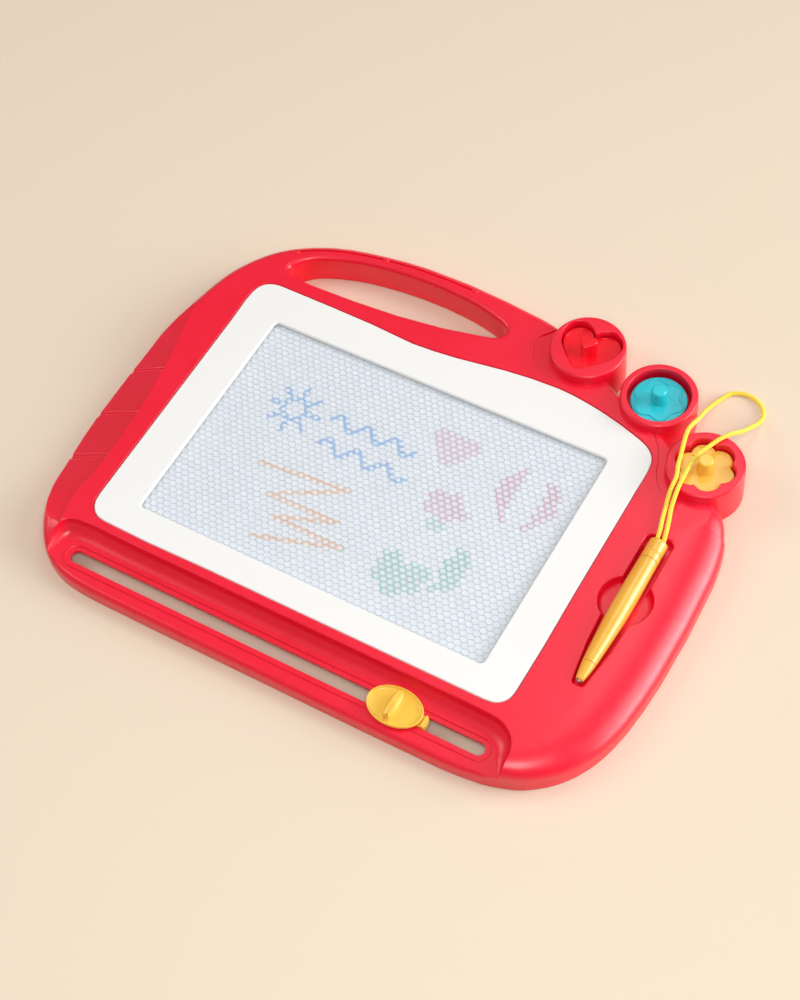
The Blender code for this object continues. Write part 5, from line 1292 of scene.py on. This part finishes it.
def honeycomb():
    """A closed plate whose top is rows of cells with raised walls, coloured by the marks."""
    half_w = CELL_HALF_WIDTH
    half_h = CELL_ROW * 2 / 3
    corners = [(0, half_h), (-half_w, half_h / 2), (-half_w, -half_h / 2), (0, -half_h),
               (half_w, -half_h / 2), (half_w, half_h / 2)]
    top = COMB_TOP
    floor = COMB_TOP - CELL_DEPTH
    across = int((SHEET_WIDTH / 2 - 3 * half_w) / (2 * half_w))
    along = int((SHEET_HEIGHT / 2 - 2 * half_h) / CELL_ROW)
    shapes = mark_shapes()
    tidy = bmesh.new()
    paint = tidy.loops.layers.float_color.new("cell_colour")
    shared = {}

    def corner(x, y):
        key = (round(x * 1e5), round(y * 1e5))
        if key not in shared:
            shared[key] = tidy.verts.new((x, y, top))
        return shared[key]

    def face(verts, colours):
        made = tidy.faces.new(verts)
        for loop, colour in zip(made.loops, colours):
            loop[paint] = (*colour, 1)

    for row in range(-along, along + 1):
        for column in range(-across, across + 1):
            x = SCREEN_X + 2 * half_w * (column + (0.5 if row % 2 else 0.0))
            y = SCREEN_Y + row * CELL_ROW
            outer = [corner(x + cx, y + cy) for cx, cy in corners]
            rings = [outer]
            for share, height in ((CELL_WALL_SHARE, top), (CELL_SIDE_SHARE, floor),
                                  (CELL_RING_SHARE, floor)):
                rings.append([tidy.verts.new((x + cx * share, y + cy * share, height))
                              for cx, cy in corners])
            here = x - SCREEN_X, y - SCREEN_Y
            print_mark = stamped_mark(*here, shapes)
            tint = 1 - TINT_SPREAD + TINT_SPREAD * spread(row, column)
            ground = tuple(c * tint for c in CELL_FLOOR)
            for i in range(6):
                j = (i + 1) % 6
                ink = 0.0
                colour = CELL_WALL
                drawn = drawn_mark(*(here[k] + (corners[i][k] + corners[j][k]) * INK_POINT
                                     for k in (0, 1)), shapes)
                if drawn:
                    colour, ink = drawn
                elif print_mark:
                    colour = print_mark[0]
                    ink = print_mark[1] * MARK_SIDES[i]
                ink *= 1 - INK_SPREAD + INK_SPREAD * spread(column, row + i)
                low = mixed(ground, colour, ink)
                inner = mixed(ground, colour, ink * INK_INNER)
                wall = mixed(CELL_WALL, colour, ink * INK_WALL)
                face((rings[0][i], rings[0][j], rings[1][j], rings[1][i]), (wall,) * 4)
                face((rings[1][i], rings[1][j], rings[2][j], rings[2][i]), (wall, wall, low, low))
                face((rings[2][i], rings[2][j], rings[3][j], rings[3][i]),
                     (low, low, inner, inner))
            face(rings[3], (ground,) * 6)
    rim = sheet_outline(0)
    under = COMB_TOP - HONEYCOMB_THICKNESS
    high_ring = [tidy.verts.new((x, y, top)) for x, y in rim]
    low_ring = [tidy.verts.new((x, y, under)) for x, y in rim]
    count = len(rim)
    for i in range(count):
        j = (i + 1) % count
        face((low_ring[i], low_ring[j], high_ring[j], high_ring[i]), (CELL_WALL,) * 4)
    face(list(reversed(low_ring)), (CELL_WALL,) * count)
    open_edges = [edge for edge in tidy.edges if edge.is_boundary]
    filled = bmesh.ops.triangle_fill(tidy, use_beauty=True, use_dissolve=False, edges=open_edges,
                                     normal=(0, 0, 1))
    for made in filled["geom"]:
        for loop in made.loops if isinstance(made, bmesh.types.BMFace) else ():
            loop[paint] = (*CELL_WALL, 1)
    bmesh.ops.recalc_face_normals(tidy, faces=tidy.faces)
    mesh = bpy.data.meshes.new("honeycomb")
    tidy.to_mesh(mesh)
    tidy.free()
    return put("cells", mesh)


# Back cover and screws

def back_cover(outline):
    """The closing plate inside the shell's walls, with ribs, screw seats and a rail."""
    plan = offset_loop([point[:2] for point in outline], -WALL - GAP)
    cover = plate("cover", plan, 0, COVER_THICKNESS, lower_edge=COVER_EDGE, steps=3)
    for kind, x, y in cups():
        join(cover, plate(f"cup_cover_{kind}", circle(x, y, CUP_RADIUS - WALL - GAP, ROUND_SIDES),
                          0, COVER_THICKNESS, lower_edge=COVER_EDGE, steps=3))
    for side in (-1, 1):
        y = RAIL_Y + side * (SHOE_WIDTH + RAIL_THICKNESS + 2 * GAP) / 2
        join(cover, block(f"rail_{side}", SLOT_X, y, COVER_THICKNESS / 2, RAIL_LENGTH,
                          RAIL_THICKNESS, RAIL_HEIGHT + COVER_THICKNESS / 2))
    for step in (-1, 0, 1):
        join(cover, block(f"rib_{step}", SCREEN_X, SCREEN_Y + step * RIB_SPACING,
                          COVER_THICKNESS / 2, SCREEN_WIDTH + 2 * BEZEL_RIGHT, RIB_THICKNESS,
                          RIB_HEIGHT + COVER_THICKNESS / 2))
    for step in (-2, -1, 0, 1, 2):
        join(cover, block(f"cross_rib_{step}", SCREEN_X + step * RIB_SPACING, SCREEN_Y,
                          COVER_THICKNESS / 2, RIB_THICKNESS, SCREEN_HEIGHT,
                          RIB_HEIGHT + COVER_THICKNESS / 2))
    join(cover, *rods("seat", screw_places(), COVER_THICKNESS / 2, SEAT_HEIGHT, SEAT_RADIUS))
    cut(cover, plate("handle_window", offset_loop(handle_outline(), WALL + GAP), -OVERRUN,
                     COVER_THICKNESS + OVERRUN))
    cut(cover, plate("slider_window",
                     rounded_box(SLOT_X, SLOT_Y, SLOT_LENGTH + 2 * BACK_SLOT_MARGIN,
                                 BACK_SLOT_WIDTH, BACK_SLOT_WIDTH / 4),
                     -OVERRUN, COVER_THICKNESS + OVERRUN))
    for tools in zip(
            rods("head_hollow", screw_places(), -OVERRUN, SEAT_FLOOR, SCREW_HEAD_RADIUS + GAP),
            rods("screw_hole", screw_places(), -OVERRUN, SEAT_HEIGHT + OVERRUN,
                 SCREW_RADIUS + GAP)):
        cut(cover, *tools)
    return settle(cover)


def screw(name, x, y, head_top, head_radius, head_height, radius, length):
    """A screw driven upwards: a rounded head with a drive cross, and a threaded shank."""
    crown = [(head_radius * (HEAD_CROWN_SHARE + (1 - HEAD_CROWN_SHARE) * math.sin(angle)),
              head_top - head_height + head_height * 0.5 * (1 - math.cos(angle)))
             for angle in quarter_steps(ROUND_STEPS)]
    start = head_top + radius
    pitch = (head_top + length - 2.2 * radius - start) / (2 * SCREW_THREADS)
    root = radius * THREAD_ROOT_SHARE
    thread = [(radius if k % 2 else root, start + pitch * k)
              for k in range(2 * SCREW_THREADS + 1)]
    rings = [level(circle(x, y, out, SCREW_SIDES), height) for out, height in (
        *crown, (head_radius, head_top), (root, head_top), *thread,
        (radius * SCREW_END_SHARE, head_top + length))]
    made = stack(name, rings)
    long = head_radius * CROSS_LENGTH_SHARE
    wide = head_radius * CROSS_WIDTH_SHARE
    deep = head_height * CROSS_DEPTH_SHARE
    cut(made,
        block("cross_a", x, y, head_top - head_height - OVERRUN, long, wide, OVERRUN + deep),
        block("cross_b", x, y, head_top - head_height - OVERRUN, wide, long, OVERRUN + deep))
    return settle(made)


# Slider

def fin_solid():
    """A full, rounded fin whose crest falls towards its two ends."""
    x = KNOB_X + FIN_SHIFT
    plan = [(math.copysign(abs(out) ** FIN_POWERS[0], out),
             math.copysign(abs(along) ** FIN_POWERS[1], along))
            for out, along in circle(0, 0, 1, FIN_POINTS)]
    return stack("fin", [
        [(x + out * wide * FIN_WIDTH / 2, SLOT_Y + along * long * FIN_LENGTH / 2,
          KNOB_UNDER + (KNOB_BASE + (FIN_HEIGHT - KNOB_BASE) * rise
                        * (1 - FIN_FALL * along ** 2))) for out, along in plan]
        for wide, long, rise in FIN_SIDE])


def slider_knob():
    """An oval dish with a thin raised rim and a finger fin, on a post."""
    knob = stack("knob", [
        level(oval(KNOB_X, SLOT_Y, KNOB_LENGTH - 2 * MM * inset, KNOB_WIDTH - 2 * MM * inset,
                   ROUND_SIDES), KNOB_UNDER + rise * MM) for inset, rise in KNOB_SIDE])
    join(knob, fin_solid(),
         rod("post", KNOB_X, SLOT_Y, KNOB_UNDER - POST_LENGTH, KNOB_UNDER + KNOB_BASE / 2,
             POST_RADIUS, SCREW_SIDES))
    pocket = oval(KNOB_X + FIN_SHIFT, SLOT_Y - FIN_LENGTH / 2 + POCKET_INSET, POCKET_LENGTH,
                  POCKET_WIDTH, SCREW_SIDES)
    cut(knob, recess("pocket", pocket, KNOB_UNDER + KNOB_BASE / 2, KNOB_UNDER + KNOB_BASE,
                     POCKET_SOFT, steps=3))
    return settle(knob)


def arm_screw_places():
    reach = TONGUE_LENGTH / 2 - 2 * SMALL_SCREW_HEAD_RADIUS
    return NECK_X - reach, NECK_X + reach


def slider_carriage():
    """The block that runs in the slot: a neck with an end tab, over a foot under the ledge."""
    neck = rounded_box(NECK_X, SLOT_Y, NECK_LENGTH, SLOT_WIDTH - 2 * GAP, NECK_CORNER)
    carriage = plate("carriage", neck, FOOT_UNDER + FOOT_THICKNESS / 2, KNOB_UNDER - GAP,
                     edge=SOFT_EDGE, steps=3)
    tab_x = NECK_X + NECK_LENGTH / 2 - TAB_THICKNESS
    join(carriage,
         plate("foot", rounded_box(NECK_X, SLOT_Y, FOOT_LENGTH, FOOT_WIDTH, NECK_CORNER),
               FOOT_UNDER, FOOT_TOP, edge=SOFT_EDGE, lower_edge=SOFT_EDGE, steps=3),
         plate("tab", rounded_box(tab_x, SLOT_Y, TAB_THICKNESS, SLOT_WIDTH - 2 * GAP, SOFT_EDGE),
               LEDGE_HEIGHT, COLLAR_TOP + TAB_RISE, edge=SOFT_EDGE, steps=3))
    cut(carriage, rod("post_bore", KNOB_X, SLOT_Y, KNOB_UNDER - POST_LENGTH - GAP,
                      KNOB_UNDER + OVERRUN, POST_RADIUS + GAP, SCREW_SIDES))
    for number, x in enumerate(arm_screw_places(), 1):
        cut(carriage, rod(f"foot_pilot_{number}", x, SLOT_Y, FOOT_UNDER - OVERRUN,
                          TONGUE_UNDER - GAP + SMALL_SCREW_LENGTH + GAP,
                          SMALL_SCREW_RADIUS + GAP, SCREW_SIDES))
    return settle(carriage)


# Stamps

def raised_line(kind):
    """The thin raised line on a stamp's face: along its outline, or wavy on the round one."""
    x, y = at(*CUP_SHARES[kind])
    half = LINE_WIDTH / 2
    if kind == "round":
        middle = []
        for i in range(144):
            angle = TURN * i / 144
            out = WAVE_RADIUS + WAVE_SWING * math.cos(FLOWER_LOBES * angle)
            middle.append((x + out * math.cos(angle), y + out * math.sin(angle)))
        outer, inner = offset_loop(middle, half), offset_loop(middle, -half)
    elif kind == "heart":
        width = HEART_WIDTH - 2 * STAMP_PLAY - 2 * LINE_INSET
        outer, inner = heart(x, y, width), heart(x, y, width - 2 * LINE_WIDTH)
    else:
        outer = flower(x, y, STAMP_PLAY + LINE_INSET)
        inner = flower(x, y, STAMP_PLAY + LINE_INSET + LINE_WIDTH)
    line = plate(f"line_{kind}", outer, STAMP_TOP - STAMP_EDGE, STAMP_TOP + LINE_RISE,
                 edge=LINE_RISE * 0.6, steps=3)
    cut(line, recess(f"line_inside_{kind}", inner, STAMP_TOP - 2 * STAMP_EDGE,
                     STAMP_TOP + LINE_RISE, LINE_RISE * 0.4, steps=3))
    return line


def stamp(kind):
    """A shaped plate with a finger knob on top and a seat for its magnet underneath."""
    x, y = at(*CUP_SHARES[kind])
    body = plate(f"{kind}_body", well_outline(kind, STAMP_PLAY), STAMP_BASE, STAMP_TOP,
                 edge=STAMP_EDGE, lower_edge=SOFT_EDGE)
    high = STAMP_TOP + STAMP_KNOB_HEIGHT
    if kind == "heart":
        knob = plate("knob_heart", heart(x, y, HEART_KNOB_WIDTH), STAMP_TOP - STAMP_EDGE, high,
                     edge=STAMP_EDGE)
    else:
        crown = [(STAMP_KNOB_RADIUS - STAMP_KNOB_DRAFT - STAMP_KNOB_CROWN * (1 - math.cos(angle)),
                  high - STAMP_KNOB_CROWN * (1 - math.sin(angle)))
                 for angle in quarter_steps(ROUND_STEPS)]
        knob = stack(f"knob_{kind}", [level(circle(x, y, out, ROUND_SIDES // 2), height)
                                      for out, height in ((STAMP_KNOB_RADIUS,
                                                           STAMP_TOP - STAMP_EDGE), *crown)])
    join(body, knob, raised_line(kind))
    cut(body, rod(f"magnet_seat_{kind}", x, y, STAMP_BASE - OVERRUN,
                  STAMP_BASE + MAGNET_THICKNESS + GAP, MAGNET_RADIUS + GAP))
    return settle(body)


# Pen and cord

def turned(name, profile, x=0.0, sides=PEN_SIDES):
    """A round solid about the pen's axis; the profile runs from tip to cap as y and radius."""
    rings = [[(TRAY_X + x + radius * math.sin(TURN * i / sides), y,
               PEN_HEIGHT + radius * math.cos(TURN * i / sides)) for i in range(sides)]
             for y, radius in profile]
    return stack(name, rings)


def pen_profile(shares):
    return [(pen_y(along), out * PEN_RADIUS) for along, out in reversed(shares)]


def pin(name, low, high, radius, x=0.0, sides=PEN_SIDES):
    return turned(name, [(low, radius), (high, radius)], x, sides)


def pen_y(share):
    return PEN_TOP_Y - share * PEN_LENGTH


def pen():
    """Cap, barrel and tip plug into one another, and the tip holds a magnet nib."""
    cap = turned("cap", pen_profile(CAP_SHARES))
    joint = pen_y(CAP_SHARES[-1][0])
    join(cap, pin("cap_spigot", joint - SPIGOT_LENGTH, joint + OVERRUN / 2, CAP_SPIGOT_RADIUS))
    cut(cap, *(pin(f"cord_hole_{side}", PEN_TOP_Y - CORD_SEAT, PEN_TOP_Y + OVERRUN,
                   CORD_DIAMETER / 2 + FILM_GAP, side * CORD_SPREAD / 2, SCREW_SIDES)
               for side in (-1, 1)))
    barrel = turned("barrel", pen_profile(BARREL_SHARES))
    back = pen_y(BARREL_SHARES[0][0])
    front = pen_y(BARREL_SHARES[-1][0])
    cut(barrel,
        pin("cap_socket", back - SPIGOT_LENGTH - 2 * GAP, back + OVERRUN,
            CAP_SPIGOT_RADIUS + GAP),
        pin("tip_socket", front - OVERRUN, front + SPIGOT_LENGTH + 2 * GAP,
            TIP_SPIGOT_RADIUS + GAP))
    tip = turned("tip", pen_profile(TIP_SHARES))
    seat = pen_y(TIP_SHARES[0][0])
    end = pen_y(TIP_SHARES[-1][0])
    join(tip, pin("tip_spigot", seat - OVERRUN / 4, seat + SPIGOT_LENGTH, TIP_SPIGOT_RADIUS))
    cut(tip, pin("nib_hole", end - OVERRUN, end + NIB_DEPTH, NIB_RADIUS + GAP))
    ball = [(pen_y(1) + NIB_RADIUS * (1 - math.cos(angle)), NIB_RADIUS * math.sin(angle))
            for angle in quarter_steps(8)[1:]]
    nib = turned("nib", [*ball, (end + NIB_DEPTH - GAP, NIB_RADIUS)])
    return settle(cap), settle(barrel), settle(tip), settle(nib)


def cord_line():
    """Fine points along the cord; each end runs straight into the cap."""
    free = smooth_line(CORD_ROUTE[1:-1], CORD_STEPS)
    return even_line([CORD_ROUTE[0], *free, CORD_ROUTE[-1]], CORD_RING_SPACING)


def cord_tube(line):
    """A round braid: strands that run both ways round, over and under one another."""
    sides = CORD_SIDES
    radius = CORD_DIAMETER / 2
    points = []
    dent_shades = []
    out = None
    along = 0.0
    for i, place in enumerate(line):
        here = Vector(place)
        before = Vector(line[max(i - 1, 0)])
        after = Vector(line[min(i + 1, len(line) - 1)])
        ahead = (after - before).normalized()
        if out is None:
            out = ahead.orthogonal()
        out = (out - ahead * out.dot(ahead)).normalized()
        side = ahead.cross(out)
        if i:
            along += (here - before).length
        for k in range(sides):
            angle = TURN * k / sides
            twist = TURN * along / CORD_PITCH
            first = math.sin(CORD_STRANDS / 2 * (angle + twist))
            second = math.sin(CORD_STRANDS / 2 * (angle - twist))
            dent = (1 - abs(first * second)) ** 3
            spoke = math.cos(angle) * out + math.sin(angle) * side
            points.append(here + spoke * (radius - CORD_RELIEF * dent))
            # each point's dent depth is also kept to paint shade into the hollows between the
            # strands
            dent_shades += [dent, dent, dent, 1.0]
    faces = [tuple(range(sides)), tuple(range(len(points) - 1, len(points) - sides - 1, -1))]
    for ring in range(len(line) - 1):
        a = ring * sides
        for k in range(sides):
            j = (k + 1) % sides
            faces.append((a + k, a + sides + k, a + sides + j, a + j))
    made = outward("cord", points, faces)
    shade = made.data.color_attributes.new(name="dent", type="FLOAT_COLOR", domain="POINT")
    shade.data.foreach_set("color", dent_shades)
    return made


# Finishes

def noise(tree, scale, detail=3.0, roughness=0.55, stretch=None):
    """Noise on the object's own coordinates, in metres."""
    nodes = tree.nodes
    place = nodes.new("ShaderNodeTexCoord")
    made = nodes.new("ShaderNodeTexNoise")
    made.inputs["Scale"].default_value = scale
    made.inputs["Detail"].default_value = detail
    made.inputs["Roughness"].default_value = roughness
    source = place.outputs["Object"]
    if stretch:
        turn = nodes.new("ShaderNodeMapping")
        turn.inputs["Scale"].default_value = stretch
        tree.links.new(source, turn.inputs["Vector"])
        source = turn.outputs["Vector"]
    tree.links.new(source, made.inputs["Vector"])
    return made.outputs["Fac"]


def spanned(tree, value, low, high, from_low=0.3, from_high=0.7):
    """A value mapped to a range."""
    made = tree.nodes.new("ShaderNodeMapRange")
    made.inputs["From Min"].default_value = from_low
    made.inputs["From Max"].default_value = from_high
    made.inputs["To Min"].default_value = low
    made.inputs["To Max"].default_value = high
    tree.links.new(value, made.inputs["Value"])
    return made.outputs["Result"]


def blended(tree, share, first, second):
    """Two colours mixed by a share; each is a colour or another node's output."""
    made = tree.nodes.new("ShaderNodeMix")
    made.data_type = "RGBA"
    tree.links.new(share, made.inputs["Factor"])
    for socket, colour in ((made.inputs[6], first), (made.inputs[7], second)):
        if isinstance(colour, tuple):
            socket.default_value = (*colour, 1)
        else:
            tree.links.new(colour, socket)
    return made.outputs[2]


def bumped(tree, layers):
    """Bumps in turn, each with a height, a strength and a distance."""
    normal = None
    for height, strength, distance in layers:
        made = tree.nodes.new("ShaderNodeBump")
        made.inputs["Strength"].default_value = strength
        made.inputs["Distance"].default_value = distance
        tree.links.new(height, made.inputs["Height"])
        if normal:
            tree.links.new(normal, made.inputs["Normal"])
        normal = made.outputs["Normal"]
    return normal


def varied(tree, scale, detail, low=0.0, high=1.0):
    """Noise mapped to a range."""
    return spanned(tree, noise(tree, scale, detail), low, high)


def new_finish(name):
    made = bpy.data.materials.new(name)
    made.use_nodes = True
    return made, made.node_tree


def completed(made, colour, roughness, bumps, inputs=None):
    """The material with its colour, roughness and bumps linked and its other inputs set."""
    tree = made.node_tree
    shader = tree.nodes["Principled BSDF"]
    tree.links.new(colour, shader.inputs["Base Color"])
    tree.links.new(roughness, shader.inputs["Roughness"])
    tree.links.new(bumped(tree, bumps), shader.inputs["Normal"])
    for key, value in (inputs or {}).items():
        shader.inputs[key].default_value = value
    return made


def plastic(name, colour, deep, roughness, skin=0.25, coat=0.0, coat_roughness=0.08):
    """Moulded plastic: faint flow in its colour, uneven gloss, and a fine skin over a peel."""
    made, tree = new_finish(name)
    return completed(made, blended(tree, varied(tree, 28, 4), colour, deep),
                     varied(tree, 160, 3, roughness - 0.04, roughness + 0.06),
                     [(noise(tree, 420, 2), skin * 0.5, 0.0002),
                      (noise(tree, 3200, 2), skin, 0.00003)],
                     {"Coat Weight": coat, "Coat Roughness": coat_roughness})


def point_colour(tree, layer):
    made = tree.nodes.new("ShaderNodeVertexColor")
    made.layer_name = layer
    return made.outputs["Color"]


def cell_finish():
    """The cells' colours from the mesh, over a faint cloudiness of the liquid."""
    made, tree = new_finish("screen_cells_fine")
    return completed(made, blended(tree, varied(tree, 60, 3, 0.0, 0.12),
                                   point_colour(tree, "cell_colour"), CELL_CLOUD),
                     varied(tree, 900, 2, 0.38, 0.52), [(noise(tree, 5000, 2), 0.2, 0.00003)])


def film_finish():
    made, tree = new_finish("clear_film_fine")
    return completed(made, blended(tree, varied(tree, 35, 3), FILM, FILM_HAZE),
                     varied(tree, 220, 2, 0.16, 0.24), [(noise(tree, 90, 2), 0.06, 0.0003)],
                     {"Alpha": 0.10})


def cord_finish():
    """Woven polyester: soft sheen, fine fibres along the strands, and painted shade in the hollows
    between them.
    """
    made, tree = new_finish("cord_braid")
    yarn = blended(tree, varied(tree, 1500, 3), YARN, YARN_DEEP)
    # painted shade: the deeper the hollow between the strands, the darker the yarn is painted
    depth = spanned(tree, point_colour(tree, "dent"), 0.0, 0.95, 0.45, 1.0)
    return completed(made, blended(tree, depth, yarn, DENT_SHADE),
                     varied(tree, 800, 2, 0.62, 0.78), [(noise(tree, 6500, 3), 0.5, 0.00006)],
                     {"Sheen Weight": 0.25, "Sheen Roughness": 0.5})


def steel_finish():
    made, tree = new_finish("steel_fine")
    brush = noise(tree, 900, 3, stretch=(1.0, 12.0, 1.0))
    return completed(made, blended(tree, spanned(tree, brush, 0.0, 1.0), STEEL, STEEL_DEEP),
                     spanned(tree, brush, 0.24, 0.42), [(brush, 0.15, 0.00004)],
                     {"Metallic": 1.0})


def ferrite_finish(name):
    made, tree = new_finish(name)
    return completed(made, blended(tree, varied(tree, 2400, 4), FERRITE, FERRITE_GRIT),
                     varied(tree, 600, 3, 0.48, 0.72), [(noise(tree, 3000, 3), 0.4, 0.00008)])


def repaint(finish, *nodes):
    for node in nodes:
        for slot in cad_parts[node].material_slots:
            slot.material = finish


def main():
    bpy.context.scene.view_settings.view_transform = "Standard"
    camera()
    floor_and_sky()
    lamps()

    line = cord_line()
    cord = dress(cord_tube(line), "pen_cord", "pen", cord_finish())

    red = plastic("red_plastic", RED, RED_DEEP, 0.34, skin=0.20, coat=0.35,
                  coat_roughness=0.30)
    white = plastic("white_plastic", WHITE, WHITE_DEEP, 0.42, skin=0.18)
    yellow = plastic("yellow_gloss", YELLOW, YELLOW_DEEP, 0.24, skin=0.10, coat=0.3)
    pen_yellow = plastic("pen_gloss", PEN_YELLOW, PEN_DEEP, 0.20, skin=0.08, coat=0.5)
    ruby = plastic("ruby_gloss", RUBY, RUBY_DEEP, 0.20, skin=0.08, coat=0.4)
    teal = plastic("teal_gloss", TEAL, TEAL_DEEP, 0.24, skin=0.10, coat=0.3)
    steel = steel_finish()

    outline = board_outline()
    bezel = bezel_outline()
    dress(front_shell(outline, bezel), "front_shell", "board", red)
    dress(back_cover(outline), "back_cover", "board", red)
    dress(bezel_frame(bezel), "bezel", "board", white)
    dress(honeycomb(), "screen_honeycomb", "board", cell_finish())
    for number, (x, y) in enumerate(screw_places(), 1):
        made = screw(f"screw_{number}", x, y, SEAT_FLOOR - GAP, SCREW_HEAD_RADIUS,
                     SCREW_HEAD_HEIGHT, SCREW_RADIUS, SCREW_LENGTH)
        dress(made, f"cover_screw_{number}", "board", steel)

    dress(slider_knob(), "slider_knob", "eraser", yellow)
    dress(slider_carriage(), "slider_carriage", "eraser", yellow)
    for number, x in enumerate(arm_screw_places(), 1):
        made = screw(f"small_screw_{number}", x, SLOT_Y, TONGUE_UNDER - GAP,
                     SMALL_SCREW_HEAD_RADIUS, SMALL_SCREW_HEAD_HEIGHT, SMALL_SCREW_RADIUS,
                     SMALL_SCREW_LENGTH)
        dress(made, f"arm_screw_{number}", "eraser", steel)

    for kind, slot, finish in (("heart", "ruby_plastic", ruby), ("round", "teal_plastic", teal),
                               ("flower", "yellow_plastic", yellow)):
        dress(stamp(kind), f"stamp_{kind}", f"{kind}_stamp", finish)

    *parts, nib = pen()
    for made, name in zip(parts, ("pen_cap", "pen_barrel", "pen_tip")):
        dress(made, name, "pen", pen_yellow)
    dress(nib, "pen_nib", "pen", steel)

    repaint(film_finish(), "screen_front_film", "screen_back_film")
    repaint(white, "eraser_arm")
    repaint(ferrite_finish("magnet_strip_fine"), "eraser_magnet")
    repaint(ferrite_finish("magnet_disc_fine"), "stamp_heart_magnet", "stamp_round_magnet",
            "stamp_flower_magnet")


main()
